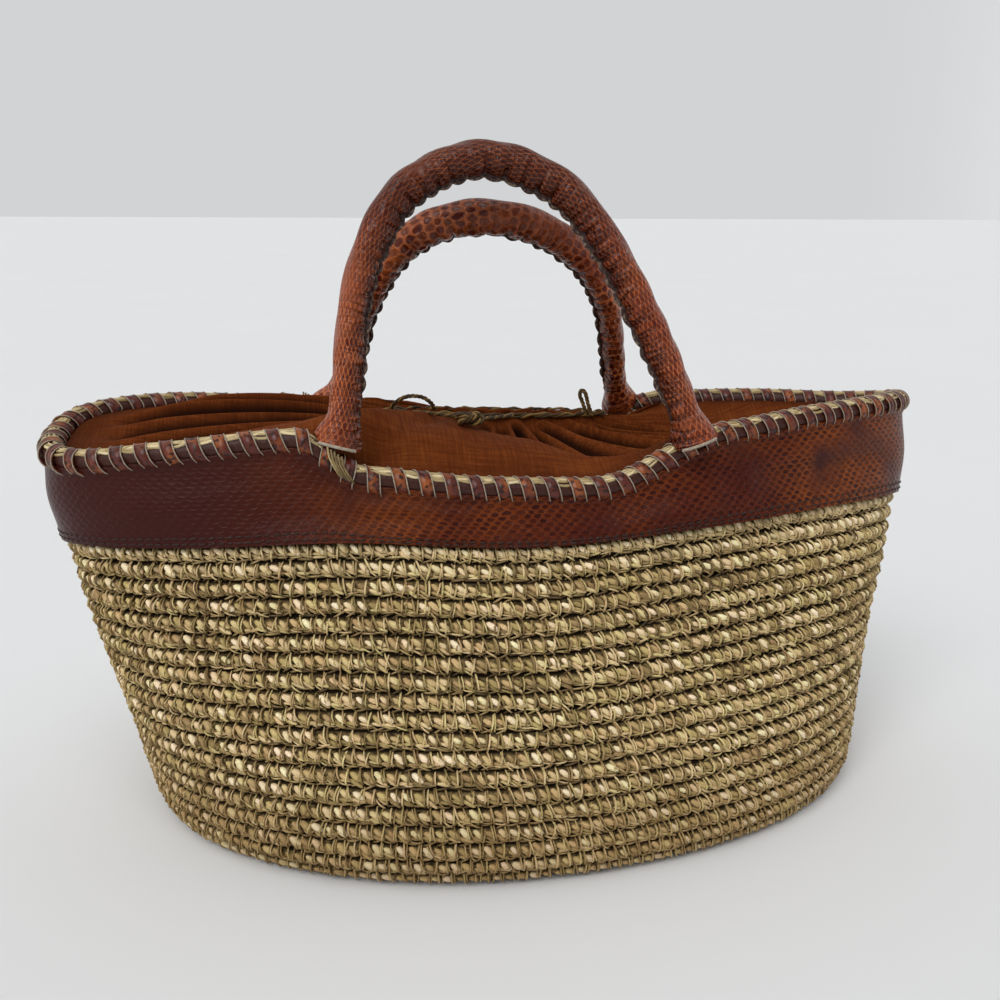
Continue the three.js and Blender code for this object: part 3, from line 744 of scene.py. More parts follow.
def rim_outwards(turn):
    """The level direction out of the mouth, square to the rim."""
    along = rim_point(turn + 1) - rim_point(turn - 1)
    return unit(np.stack([along[..., 1], -along[..., 0], 0 * along[..., 0]], -1))


UP = np.array([0.0, 0.0, 1.0])


def beside_rim(turn, out, rise):
    """Points out and up from the rim roll's middle line."""
    return rim_point(turn) + rim_outwards(turn) * out + UP * rise


def band_head_at(turn):
    """The level of the roll's underside over the band."""
    reach = ROLL_RADIUS + 1.5 * GAP
    near = rim_point(turn[:, None] + np.linspace(-8, 8, 33))
    here = rim_point(turn)[:, None]
    apart = np.hypot(near[..., 0] - here[..., 0], near[..., 1] - here[..., 1])
    under = near[..., 2] - np.sqrt(np.maximum(reach**2 - apart**2, 0))
    return np.where(apart < reach, under, here[..., 2]).min(1)


def band_point(turn, up, outwards):
    """Points on the leather band, as up goes from 0 at its sewn foot to 1 under the rim roll."""
    foot = band_foot_at(turn)
    low = oval_point(wall_oval(1.0), turn, GAP + LEATHER_THICKNESS)
    normal = oval_point(MOUTH, turn, 1.0) - oval_point(MOUTH, turn)
    high = rim_point(turn)[:, :2] + normal * (BAND_HEAD_OUT + LEATHER_THICKNESS / 2)
    swell = dent_at(BAND_DENTS, turn, up) + dent_at(BAND_CREASES, turn, up)
    push = outwards + swell * np.sin(np.pi * up)
    plan = low + (high - low) * up + normal * push[:, None]
    return np.concatenate([plan, (foot + (band_head_at(turn) - foot) * up)[:, None]], -1)


def snake_leather(name, cell, spot_share, colours, wear_and_sheen_scale, roughness,
                  bare=(-9.0, -10.0), girth=0.0, netted=False):
    """Snake-grain leather: staggered rows of dark scales in a glossy ground that is paler in places, partly
    worn and partly painted sheen.
    cell is the scales' spacing across and along the rows, in millimetres, and spot_share their shares of it.
    From the first to the second of two places along X, in metres, the scales fade into bare leather.
    A sleeve with a girth is gathered into creases by the seam where the girth begins and ends, with painted
    shade along the seam and in the creases, and painted shade high up. Netted scales are long diamonds with a
    thin net between them."""
    material, place = new_material(name, roughness, specular_ior_level=0.28 if girth else 0.15)
    ground, spot, worn_and_sheen, plain = colours
    skin = place.on_surface()
    crinkle = noise(place, 260.0, 2.0) * 0.6
    along = skin.part(0) * (1 / cell[0]) + noise(place, 45.0, 2.0) * 0.8 + crinkle
    up = skin.part(1) * (1 / cell[1]) + noise(place, 60.0, 2.0) * 1.2 + crinkle + 100.0
    if netted:
        along, up = along + up * 0.5, along - up * 0.5
    row = up.maths("FLOOR")
    if not netted:
        along = along + row.maths("MODULO", 2.0) * 0.5
    # side and rise are 0 in the middle of a scale, and edge is the distance from it, frayed a little.
    side = (along.maths("FRACT") - 0.5) / spot_share[0]
    rise = (up.maths("FRACT") - 0.5) / spot_share[1]
    own = joined(along.maths("FLOOR"), row, 0.0)
    own = own.node("ShaderNodeTexWhiteNoise", {"noise_dimensions": "2D"}, {"Vector": own})
    fine = noise(place, 420.0, 3.0)
    side, rise = side * side, rise * rise
    if netted:
        side, rise = side * side, rise * rise
    edge = (side + rise).maths("SQRT")
    if netted:
        edge = edge.maths("SQRT")
    edge = edge + fine * 0.3 - 0.15
    scale = 1 - (edge.ramp(0.4, 0.53) if netted else edge.ramp(0.36, 0.58))
    clear = noise(place, 26.0, 3.0).ramp(0.25, 0.5) * place.part(0).ramp(bare[1], bare[0])
    # The ground is paler in patches, partly wear and partly painted sheen, and each scale has its own
    # darkness.
    wear_and_sheen = noise(place, wear_and_sheen_scale, 4.0).ramp(0.36, 0.62)
    base = clear.between(plain, wear_and_sheen.between(ground, worn_and_sheen))
    base = (fine * 0.6).between(base, tuple(0.4 * value for value in ground))
    dark = (own * (0.3 if netted else 0.5)).between(spot, base)
    relief = fine * 0.35 + (1 - scale) * (clear * 0.7 + 0.3) + crinkle
    if girth:
        near_seam = (skin.part(0) * (1 / girth) - 0.5).maths("ABSOLUTE").ramp(0.1, 0.44)
        folds = noise(joined(skin.part(0) * 0.05, skin.part(1) * 0.2 + crinkle * 0.5, 0.0), 1.0, 2.0)
        smooth = (folds - 0.5).maths("ABSOLUTE").ramp(0.0, 0.13)
        relief = relief + smooth * (near_seam * 2.6 + 0.7)
        # Painted shade: darker along the seam on the underside and in the creases, and high up on the handle.
        shaded = near_seam * 0.45 + (1 - smooth) * (near_seam * 0.45 + 0.15)
        shade_high_up = place.part(2).ramp(0.25, 0.3) * (noise(place, 55.0, 3.0) * 0.6 + 0.46)
        painted_shade = 1 - (1 - shaded) * (1 - shade_high_up)
        base = painted_shade.between(base, tuple(0.27 * value for value in ground))
        dark = painted_shade.between(dark, tuple(0.3 * value for value in spot))
    colour = (scale * (clear * 0.85 + 0.15)).between(base, dark)
    finish_with(material, colour, wear_and_sheen * 0.08 + fine * 0.2 + roughness, relief, 0.0006, 0.7)
    return material


HEAD_TUCK = ((4.0, -4.3), (4.9, -2.2), (3.6, -2.2))  # out and up from the roll's middle, under the lace
BAND_SCALE = (5.1, 2.1)  # spacing of the scales round and up the band, the first made even round it
BAND_SIDES = 480
around = turns(BAND_SIDES)
band_ups = np.concatenate([[0.0, 0.012, 0.035], np.linspace(0.08, 0.93, 18), [0.97, 1.0]])
back_ups = np.array([1.0, 0.66, 0.33, 0.0])
band_rings = [band_point(around, up, np.zeros(BAND_SIDES)) for up in band_ups]
band_rings += [beside_rim(around, out, rise) for out, rise in HEAD_TUCK]
band_rings += [band_point(around, up, np.full(BAND_SIDES, -LEATHER_THICKNESS)) for up in back_ups]
band_round = lengths_along(band_rings[len(band_ups) // 2])
band_steps = np.linalg.norm(np.diff(band_rings + band_rings[:1], axis=0), axis=-1)
band_rise = np.concatenate([np.zeros((1, BAND_SIDES)), np.cumsum(band_steps, 0)])
band_cell = (band_round[-1] / round(band_round[-1] / BAND_SCALE[0]), BAND_SCALE[1])
BAND_COLOURS = ((0.09, 0.011, 0.003), (0.025, 0.0015, 0.0008), (0.25, 0.053, 0.004), (0.045, 0.007, 0.005))
BARE_END = (-0.03, -0.15)  # along X, where the band's left end loses its scales
band_leather = snake_leather("band_leather", band_cell, (0.68, 0.9), BAND_COLOURS, 11.0, 0.2, BARE_END)
band_skin = lofted("band_skin", band_rings, band_leather, surface=(band_round, band_rise))
belongs(band_skin, "band_leather", "leather_band")


def mottled(name, roughness, scale, dark, pale, detail=2.0, depth=0.0, **sockets):
    """A finish mottled from a dark colour to a pale one, with relief where it has a depth in metres."""
    material, place = new_material(name, roughness, **sockets)
    grain = noise(place, scale, detail)
    finish_with(material, grain.between(dark, pale), height=grain if depth else None, depth=depth)
    return material


def band_line(height):
    """A line round the band at a height above its foot, with the way out of it."""
    up = height / BAND_HEIGHT
    line = band_point(around, up, np.full(BAND_SIDES, 0.15))
    rise = band_point(around, up + 0.05, np.zeros(BAND_SIDES)) - band_point(around, up, np.zeros(BAND_SIDES))
    return line, unit(np.cross(np.roll(line, -1, 0) - np.roll(line, 1, 0), rise))


SEAM_HEIGHTS = (2.2, 5.4)  # of the two rows above the band's foot
dark_thread = mottled("dark_thread", 0.5, 900.0, (0.015, 0.008, 0.006), (0.065, 0.036, 0.028),
                      specular_ior_level=0.15)
stitch_sizes = {
    "Length": 0.0017, "Height": 0.0005, "Thickness": 0.0005, "Spacing": 0.0041, "Lean": 0.12,
    "Lean Spread": 0.12, "Size Spread": 0.12, "Stray": 0.0002, "Seed": 71, "Finish": dark_thread,
}
seam_lines, seam_outs = zip(*(band_line(height) for height in SEAM_HEIGHTS))
belongs(grown("band_stitches", leaf_tree, stitch_sizes, seam_lines, seam_outs), "band_leather")


# Rim: a bundle of raffia laid along the mouth, half covered by the band's turned-up edge.
# A leather lace is whipped round it in one long spiral, and the lace's raw edges show pale.
CORE_RADIUS = 4.7
LACE_PITCH = 11.4
LACE_WIDTH = 5.4
LACE_THICKNESS = 0.9


def ring_tube(points, radius, sides):
    """Rings of a tube round the bag along a closed line of points."""
    along = unit(np.roll(points, -1, 0) - np.roll(points, 1, 0))
    out = unit(np.cross(along, UP))
    up = np.cross(out, along)
    angle = np.arange(sides) * 2 * np.pi / sides
    ring = out[:, None] * np.cos(angle)[:, None] + up[:, None] * np.sin(angle)[:, None]
    return points[:, None] + radius * ring


def coil(lines, given):
    """One turn of the lace's spiral, its normals pointing away from the roll."""
    spiral = {"Resolution": 20, "Rotations": 1.0, "Start Radius": given["Coil"], "End Radius": given["Coil"],
              "Height": given["Spacing"], "Reverse": True}
    spiral = lines.node("GeometryNodeCurveSpiral", inputs=spiral)
    spot = lines.node("GeometryNodeInputPosition")
    radial = spot.node("ShaderNodeVectorMath", {"operation": "MULTIPLY"}, {0: spot, 1: (1.0, 1.0, 0.0)})
    return lines.node("GeometryNodeSetCurveNormal", {"mode": "FREE"}, {"Curve": spiral, "Normal": radial})


def coiled(lines, given, section):
    """A section swept along one turn of the lace, laid along the round."""
    along_round = {"Geometry": swept(coil(lines, given), section), "Rotation": (0.0, math.pi / 2, 0.0)}
    return lines.node("GeometryNodeTransform", inputs=along_round)


def lace_shape(lines, given):
    """One turn of the lace, a flat strap."""
    section = {"Width": given["Thickness"], "Height": given["Width"]}
    return coiled(lines, given, lines.node("GeometryNodeCurvePrimitiveQuadrilateral", inputs=section))


def edge_shape(lines, given):
    """The two raw edges of one turn of the lace."""
    section = round_section(lines, 4, given["Thickness"])
    edges = lines.node("GeometryNodeJoinGeometry")
    for side in (-0.5, 0.5):
        aside = lines.node("ShaderNodeCombineXYZ", inputs={1: given["Width"] * side})
        edge = lines.node("GeometryNodeTransform", inputs={"Geometry": section, "Translation": aside})
        lines.tree.links.new(edge.socket, edges.socket.node.inputs[0])
    return coiled(lines, given, edges)


RAW_EDGE = 0.3  # radius of the lace's raw edge
RIM_SIDES = 540
around = turns(RIM_SIDES)
rim_line = rim_point(around)
rim_out = rim_outwards(around)

core_leather = mottled("rim_core_leather", 0.45, 500.0, (0.02, 0.006, 0.004), (0.075, 0.02, 0.012),
                       detail=3.0, depth=0.0004, specular_ior_level=0.25)
rim_core = lofted("rim_core", ring_tube(rim_line, CORE_RADIUS, 12), core_leather)
belongs(rim_core, "band_leather", "rim_roll")

CREST_ANGLES = range(50, 130, 10)  # up from the level way out, where the bundle's top strands lie
dice = np.random.default_rng(23)
along_rim = lengths_along(rim_line)[:-1]
crest_lines = []
for crest_angle in CREST_ANGLES:
    angle = np.radians(crest_angle)
    phase = dice.uniform(0, 2 * np.pi, 2)
    sway = 0.16 * np.sin(along_rim / 3.1 + phase[0]) + 0.12 * np.sin(along_rim / 7.3 + phase[1])
    lift = CORE_RADIUS + 0.05 + 0.15 * np.sin(along_rim / 4.2 + phase[1])
    spread = np.stack([np.cos(angle + sway), np.sin(angle + sway)], -1) * lift[:, None]
    crest_lines.append(rim_line + rim_out * spread[:, :1] + UP * spread[:, 1:])
strands_tree = tube_tree("strands")
rim_raffia = raffia_material("rim_raffia", (0.09, 0.055, 0.02), (0.35, 0.25, 0.11), (0.74, 0.6, 0.35), False)
crest_sizes = {"Radius": 0.00075, "Sides": 4, "Seed": 5, "Finish": rim_raffia}
belongs(grown("rim_raffia", strands_tree, crest_sizes, crest_lines), "raffia")

lace_leather, place = new_material("lace_leather", 0.3, specular_ior_level=0.35)
patch = noise(place, 110.0, 3.0)
speck = noise(place, 480.0, 2.0)
lace_colour = patch.ramp(0.42, 0.72).between((0.095, 0.016, 0.009), (0.32, 0.085, 0.016))
lace_colour = speck.ramp(0.5, 0.62).between(lace_colour, (0.028, 0.006, 0.004))
finish_with(lace_leather, lace_colour, patch * 0.25 + 0.2, speck, 0.0005, 0.5)
raw_leather = mottled("raw_leather_edge", 0.75, 700.0, (0.17, 0.13, 0.09), (0.5, 0.42, 0.32),
                      detail=3.0, depth=0.0004)

rim_length = lengths_along(rim_line)[-1]
lace_lay = {"Spacing": 0.001 * rim_length / round(rim_length / LACE_PITCH), "Seed": 90}
LACE_PIECES = {  # the shape of one turn, its radius and thickness, and the leather
    "rim_lace": (lace_shape, ROLL_RADIUS - LACE_THICKNESS / 2, LACE_THICKNESS, lace_leather),
    "rim_lace_edges": (edge_shape, ROLL_RADIUS, RAW_EDGE, raw_leather),
}
for name, (shape, radius, thickness, leather) in LACE_PIECES.items():
    lace_sizes = {"Coil": 0.001 * radius, "Width": 0.001 * LACE_WIDTH, "Thickness": 0.001 * thickness}
    lace_tree = stitch_tree(name, lace_sizes, shape)
    lace = grown(name, lace_tree, {**lace_sizes, **lace_lay, "Finish": leather}, [rim_line], [rim_out])
    belongs(lace, "band_leather")


# Handles: two stuffed tubes of snake-grain leather, netted at the front and spotted at the back.
# Their seam is sewn and ruffled along the underside. Each foot flares over the rim roll and ends in a raw,
# pale cut edge, and the left feet are lashed to the roll with raffia.
HANDLE_HALF_DEPTH = 7.6
FOOT_REACH = 22.0
FOOT_FLARE_ACROSS = 4.4
FOOT_FLARE_DEEP = 1.4
FOOT_DROP = 1.5
HANDLES = {
    "front": {
        "across": (-82.5, -79.2, -76.4, -73.8, -65.6, -49, -16, 20, 41.5, 57, 69, 77.8, 82),
        "rise": (0, 12, 34, 58, 85, 110.3, 125, 113.3, 89, 60, 35, 13, 0),
        "half": (6.4, 6.5, 6.5, 6.5, 6.9, 7.5, 7.7, 7.7, 7.6, 7.5, 7.3, 7, 7),
        "y": -57.5, "left_z": 190, "right_z": 185.5, "lean": 8, "scale": (2.2, 3.0),
    },
    "back": {
        "across": (-82, -76, -69.8, -64.5, -50.5, -34, -13, 10, 30, 47.5, 59.8, 68, 75, 80.5),
        "rise": (0, 12, 36, 67, 100, 115, 121.5, 119, 109.5, 93, 70, 41, 14, 0),
        "half": (6.2, 6.4, 6.2, 6.7, 7.8, 8.4, 8.5, 8.4, 8, 7.1, 6.2, 5.9, 6.2, 6.3),
        "y": 57, "left_z": 187.3, "right_z": 184, "lean": -34, "scale": (3.5, 4.8),
    },
}
FOOT_TURNS = (252.5, 297, 65.5, 110)
RIM_DEGREE = 3.6  # length of one degree of the rim by the feet
HANDLE_STEPS = 420
HANDLE_SIDES = 32
SLEEVE_RADIUS = 7.2  # the sleeve's mean radius, which sets the round of its scales
SCALLOP = 8.2  # length of one ruffle of the seam
SEAM_START = 0.7 * FOOT_REACH  # from the foot, where the seam begins to stand out
SEAM_FULL = 1.3 * FOOT_REACH
SEAM_ROOT = 3.4  # how deep the seam starts inside the sleeve
SEAM_PROFILE = ((-0.9, 0.0), (-0.85, 0.55), (-0.55, 1.0), (0.55, 1.0), (0.85, 0.55), (0.9, 0.0))  # aside, up
SEAM_PATH = (0.0, 1.5, 4.0, 4.0, 1.5, 0.0, 0.0)  # up the seam's leather at each point of the profile
CUT_EDGE_ARC = 47  # half of the arc of a foot's cut edge, in degrees
HANDLE_COLOURS = ((0.45, 0.088, 0.02), (0.1, 0.0085, 0.002), (0.76, 0.21, 0.06), (0.25, 0.042, 0.013))


def spline_points(knots, per_span=40):
    """A smooth line through knots, spaced by the square root of their distances, and its points' places."""
    ends = np.concatenate([[2 * knots[0] - knots[1]], knots, [2 * knots[-1] - knots[-2]]])
    gaps = np.linalg.norm(np.diff(ends, axis=0), axis=-1) ** 0.5
    points, shares = [], []
    for i in range(len(knots) - 1):
        a, b, c, d = ends[i:i + 4]
        ga, gb, gc = gaps[i:i + 3]
        first = ((b - a) / ga - (c - a) / (ga + gb) + (c - b) / gb) * gb
        last = ((c - b) / gb - (d - b) / (gb + gc) + (d - c) / gc) * gb
        t = np.linspace(0, 1, per_span, endpoint=False)[:, None]
        square = 3 * c - 3 * b - 2 * first - last
        cube = 2 * b - 2 * c + first + last
        points.append(b + t * first + t**2 * square + t**3 * cube)
        shares.append(i + t[:, 0])
    return np.concatenate([*points, knots[-1:]]), np.concatenate([*shares, [len(knots) - 1.0]])


def handle_frame(handle):
    """Even steps along a handle: its middle line, directions, half widths and lengths from the first foot."""
    across = np.array(handle["across"], float)
    rise = np.array(handle["rise"], float)
    lean = math.radians(handle["lean"])
    along = (across - across[0]) / (across[-1] - across[0])
    foot = handle["left_z"] + (handle["right_z"] - handle["left_z"]) * along - FOOT_DROP
    knots = np.stack([across, handle["y"] + rise * math.sin(lean), foot + rise * math.cos(lean)], -1)
    points, shares = spline_points(knots)
    travelled = lengths_along(points, closed=False)
    even = np.linspace(0, travelled[-1], HANDLE_STEPS + 1)
    line = np.stack([np.interp(even, travelled, points[:, axis]) for axis in range(3)], -1)
    half = curve_through(np.arange(len(knots)), handle["half"])(np.interp(even, travelled, shares))
    tangent = unit(np.gradient(line, axis=0))
    under = unit(np.cross(tangent, (0.0, -math.cos(lean), math.sin(lean))))
    side = np.cross(under, tangent)
    from_foot = np.minimum(even, travelled[-1] - even)
    flare = (1 - smoothstep(from_foot, 0, FOOT_REACH)) ** 1.5
    wide = half + FOOT_FLARE_ACROSS * flare
    deep = HANDLE_HALF_DEPTH + FOOT_FLARE_DEEP * flare
    return line, under, side, wide, deep, even, from_foot


def handle_rings(line, under, side, wide, deep, angle, swell):
    """Rings of points round a handle, angle 0 being its underside."""
    return line[:, None] + under[:, None] * ((wide[:, None] + swell) * np.cos(angle))[..., None] + (
        side[:, None] * ((deep[:, None] + swell) * np.sin(angle))[..., None])


seam_leather, place = new_material("handle_seam_leather", 0.6)
crest = place.on_surface().part(0)
fray = noise(place, 650.0, 3.0)
seam_colour = (crest.ramp(2.2, 3.4) * fray.ramp(0.45, 0.7)).between((0.03, 0.009, 0.006), (0.24, 0.16, 0.1))
finish_with(seam_leather, seam_colour, height=fray, depth=0.0005)

SEAT_PLAY = 0.15  # between a foot and the roll
seat_tube = lofted("seat_tube", ring_tube(rim_point(turns(360)), ROLL_RADIUS + SEAT_PLAY, 20), raw_leather)
for which, handle in HANDLES.items():
    line, under, side, wide, deep, even, from_foot = handle_frame(handle)
    angle = np.arange(HANDLE_SIDES) * 2 * np.pi / HANDLE_SIDES
    # Creases run out from the gathered seam, uneven and deepest where the sleeve bends over the top.
    beat = even * np.pi / SCALLOP + 0.7 * np.sin(even / 17.0) + 0.4 * np.sin(even / 7.9 + 2)
    lobe = np.abs(np.sin(beat))
    tight = 0.25 + 0.75 * smoothstep(from_foot, 40, 100)
    depth = tight * (2.0 + 0.9 * np.sin(even / 9.0 + 1.0) + 0.8 * np.sin(even / 4.1))
    inner = np.clip((np.cos(angle) + 0.7) / 1.7, 0, 1)
    lumps = 0.35 * np.sin(even / 13.0)[:, None] * np.cos(2 * angle + 1)[None]
    lumps = lumps + 0.3 * np.sin(even[:, None] / 3.4 + 2.2 * np.sin(2 * angle + even[:, None] / 21.0))
    crease = (1 - lobe[:, None]) ** (1.6 + 1.5 * inner[None])
    swell = lumps - depth[:, None] * crease * inner**0.8
    rings = handle_rings(line, under, side, wide, deep, angle, swell)
    across_scale, along_scale = handle["scale"]
    girth = across_scale * round(2 * np.pi * SLEEVE_RADIUS / across_scale)
    handle_leather = snake_leather(
        f"handle_{which}_leather", (across_scale, along_scale), (0.88, 0.88), HANDLE_COLOURS, 16.0, 0.13,
        girth=girth, netted=which == "front",
    )
    sleeve = lofted(f"handle_{which}_sleeve", rings, handle_leather, loop=False,
                    surface=(np.linspace(0, girth, HANDLE_SIDES + 1), even))
    cut = sleeve.modifiers.new("roll_seat", "BOOLEAN")
    cut.object = seat_tube
    cut.operation = "DIFFERENCE"
    cut.solver = "EXACT"
    belongs(made_plain(sleeve), "handle_leather", f"handle_{which}")

    # The seam: both edges of the sleeve sewn together and ruffled, standing out of the underside.
    sewn = from_foot > SEAM_START
    fade = smoothstep(from_foot, SEAM_START, SEAM_FULL)[sewn]
    sway = 0.7 * np.sin(beat[sewn]) * fade
    height = (0.5 + 1.5 * lobe[sewn] ** 0.8) * fade
    aside = side[sewn]
    down = under[sewn]
    root = line[sewn] + down * (wide[sewn] - SEAM_ROOT)[:, None]
    seam_rings = np.stack([
        root + aside * (sway * lift + half)[:, None] + down * ((height + SEAM_ROOT) * lift)[:, None]
        for half, lift in SEAM_PROFILE
    ], 1)
    seam_places = (SEAM_PATH, even[sewn])
    seam = lofted(f"handle_{which}_seam", seam_rings, seam_leather, loop=False, surface=seam_places)
    belongs(seam, "handle_leather")

    seam_line = root + aside * (sway * 0.45)[:, None] + down * (SEAM_ROOT + 0.35 * height)[:, None]
    sizes = {**stitch_sizes, "Length": 0.0012, "Height": 0.00035, "Spacing": 0.0036, "Seed": 77}
    for face, way in (("inside", -1.0), ("outside", 1.0)):
        row = grown(f"handle_{which}_stitches_{face}", leaf_tree, sizes, [seam_line + aside * way * 0.8],
                    [aside * way], closed=False)
        belongs(row, "handle_leather")

    # The cut edges of the two feet, where they hang in front of and behind the roll.
    ends = [0, HANDLE_STEPS]
    arc = np.radians(np.linspace(-CUT_EDGE_ARC, CUT_EDGE_ARC, 24))
    halves = [
        handle_rings(line[ends], under[ends], side[ends], wide[ends], deep[ends], middle + arc, 0.0)
        for middle in (0.5 * np.pi, 1.5 * np.pi)
    ]
    cut_lines = [half[end] for end in range(2) for half in halves]
    sizes = {"Radius": 0.0008, "Sides": 6, "Seed": 3, "Finish": raw_leather}
    cut_edges = grown(f"handle_{which}_cut_edges", strands_tree, sizes, cut_lines, closed=False)
    belongs(cut_edges, "handle_leather")
bpy.data.objects.remove(seat_tube)

# The lashing: a few strands of raffia that slant from under a foot's outer edge down over the roll.
LASH_LINE = (  # out of the roll's middle, up, and away from the foot's middle
    (6.4, 7.5, -2.4),
    (7.0, 3.6, -1.6),
    (7.4, 2.0, -0.5),
    (7.2, 0.4, 0.6),
    (6.3, -1.2, 1.6),
    (5.0, -2.2, 2.0),
)
LASHED_FEET = ((254.3, 1), (108.2, -1))  # turn, and which way round leads away from the foot's middle
LASHES = (-2.8, -1.4, 0.0, 1.4, 2.8)  # places of the strands along the rim
lash_lines = []
for foot, away in LASHED_FEET:
    for lash in LASHES:
        knots = []
        for out, rise, shift in LASH_LINE:
            turn = np.array([foot + away * (lash + shift) / RIM_DEGREE])
            knots.append(beside_rim(turn, out, rise)[0])
        lash_lines.append(spline_points(np.array(knots), 5)[0])
lash_sizes = {"Radius": 0.0005, "Sides": 5, "Seed": 31, "Finish": rim_raffia}
belongs(grown("foot_lashing", strands_tree, lash_sizes, lash_lines, closed=False), "raffia")


# Cover: a rust-brown cotton cloth sewn inside the rim and drawn together at its hem by a cord.
# It lies slack over the mouth, puffed at the front and left, with folds at the left and gathers at the right.
CLOTH_THICKNESS = 0.9
HEM = {"x": 4, "y": 29, "half_length": 58, "half_width": 8.5, "height": 181.5, "tilt": -0.04}
HEM_PLEATS = 22
PLEAT_DEPTH = 2.2
NOTCH_DEPTH = 4.2  # the cover keeps clear of the handles' feet
NOTCH_REACH = 5.5
COVER_PUFF = {  # how far the cloth is puffed up, by turn
    0: -10, 40: -5, 90: 3, 130: 9, 155: 10, 180: 6, 205: 4, 232: 6, 258: 9, 275: 6, 287: 2, 300: -7, 330: -9,
}
COVER_FOLDS = (  # turn, reach round, place from rim to hem, reach along, lift
    (88, 6, 0.5, 0.3, -2.0),
    (108, 9, 0.15, 0.3, -9.0),
    (66, 8, 0.15, 0.3, -5.0),
    (256, 24, 0.34, 0.17, 3.0),
    (219, 4, 0.3, 0.25, 2.4),
)
ROLL_CREST = {  # the front roll's crest from rim to hem, by turn
    250: 0.74, 262: 0.68, 275: 0.5, 284: 0.3, 292: 0.12, 300: 0.03, 314: 0.0,
}
ROLL_ENDS = (252, 268, 302, 322)  # turns where the roll starts, is full, still full, and gone
ROLL_FALL = 5.5  # how far the cloth falls behind it
# The turns of the gathers' ridges.
RIGHT_RIDGES = (256, 262, 268, 274, 280, 287, 294.5, 302.5, 311, 321, 333, 346, 360)
LEFT_RIDGES = (126, 144, 160, 174, 187, 206, 224)
GATHER_DEPTH = 12.0
puff_at = curve_through(list(COVER_PUFF), list(COVER_PUFF.values()), 360)


def crest_at(turn):
    return np.interp(turn % 360, list(ROLL_CREST), list(ROLL_CREST.values()))


def behind_roll(turn, along):
    """How far the cloth has fallen behind the roll that lies along the front rim."""
    crest = crest_at(turn)
    lasts = smoothstep(turn % 360, *ROLL_ENDS[:2]) * (1 - smoothstep(turn % 360, *ROLL_ENDS[2:]))
    falls = smoothstep(along, crest, crest + 0.1) * (1 - smoothstep(along, crest + 0.12, 1.05))
    return ROLL_FALL * lasts * falls


def between_ridges(turn, ridges):
    """0 on the ridges of gathered cloth, 1 in the sharp valleys between them and 0 outside them."""
    phase = np.interp(turn % 360, ridges, np.arange(len(ridges)))
    return 1 - np.abs(np.cos(np.pi * phase)) ** 1.3


def gathers(turn, along):
    """How deep the gathers fall, to 1: from the front roll at the right and from the rim at the left."""
    crest = crest_at(turn)
    right = smoothstep(along, crest, crest + 0.18) * (1 - smoothstep(along, 0.88, 1.0))
    left = smoothstep(along, 0.06, 0.3) * (1 - smoothstep(along, 0.6, 1.0))
    return right * between_ridges(turn, RIGHT_RIDGES) + left * between_ridges(turn, LEFT_RIDGES)


def cover_point(turn, along):
    """Points on the cover's upper face, as along goes from 0 at the rim to 1 at the hem."""
    notch = sum(NOTCH_DEPTH * bell((turn_from(turn, at) / NOTCH_REACH) ** 2) for at in FOOT_TURNS)
    start = rim_point(turn) - rim_outwards(turn) * (ROLL_RADIUS + 1.2 * GAP + notch)[:, None]
    hem_x = HEM["x"] + HEM["half_length"] * np.cos(np.radians(turn))
    hem_y = HEM["y"] + HEM["half_width"] * np.sin(np.radians(turn))
    hem = np.stack([hem_x, hem_y, HEM["height"] + HEM["tilt"] * hem_x], -1)
    point = start + (hem - start) * along
    puff = puff_at(turn) * np.sin(np.pi * along) ** 0.8
    pleat = PLEAT_DEPTH * np.cos(np.radians(HEM_PLEATS * turn)) * along**1.5
    folds = sum(
        lift * bell(turn_from(turn, at) / reach) * bell((along - where) / reach_along)
        for at, reach, where, reach_along, lift in COVER_FOLDS
    )
    point[:, 2] += (puff + folds) * smoothstep(along, -0.05, 0.3) + pleat
    point[:, 2] -= behind_roll(turn, along) + GATHER_DEPTH * gathers(turn, along)
    return point


cotton, place = new_material("cover_cotton", 0.95, specular_ior_level=0.08)
rim_shade = 1 - place.on_surface().part(1).ramp(0.0, 20.0)
THREADS = 700.0  # pairs of threads to a metre
warp = (place.part(0) * (2 * math.pi * THREADS)).maths("SINE")
weft = (place.part(1) * (2 * math.pi * THREADS)).maths("SINE")
weave = warp * weft * 0.5 + 0.5
slub_warp = noise(joined(place.part(0) * 900, place.part(1) * 60, place.part(2) * 60), 1.0, 2.0)
slub_weft = noise(joined(place.part(0) * 60, place.part(1) * 900, place.part(2) * 60), 1.0, 2.0)
blotch = noise(place, 16.0, 3.0)
tint = weave * 0.14 + slub_warp * 0.5 + slub_weft * 0.5 + blotch * 0.4 - 0.27
COTTON_STOPS = ((0.1, (0.04, 0.008, 0.0015)), (0.5, (0.125, 0.028, 0.005)), (0.95, (0.27, 0.075, 0.016)))
cotton_colour = tint.node("ShaderNodeValToRGB", {"stops": COTTON_STOPS}, {0: tint})
# Painted shade: the cloth darkens towards the rim, where it meets the roll.
cotton_colour = (rim_shade * 0.6).between(cotton_colour, (0.03, 0.006, 0.0015))
# Painted shade in the valleys of the gathers, read from their depth stored on the mesh.
hollow = place.stored("hollow")
cotton_colour = (hollow.ramp(0.02, 0.45) * 0.93).between(cotton_colour, (0.012, 0.003, 0.001))
finish_with(cotton, cotton_colour, height=weave * 0.4 + slub_warp + slub_weft, depth=0.00035, strength=0.6)

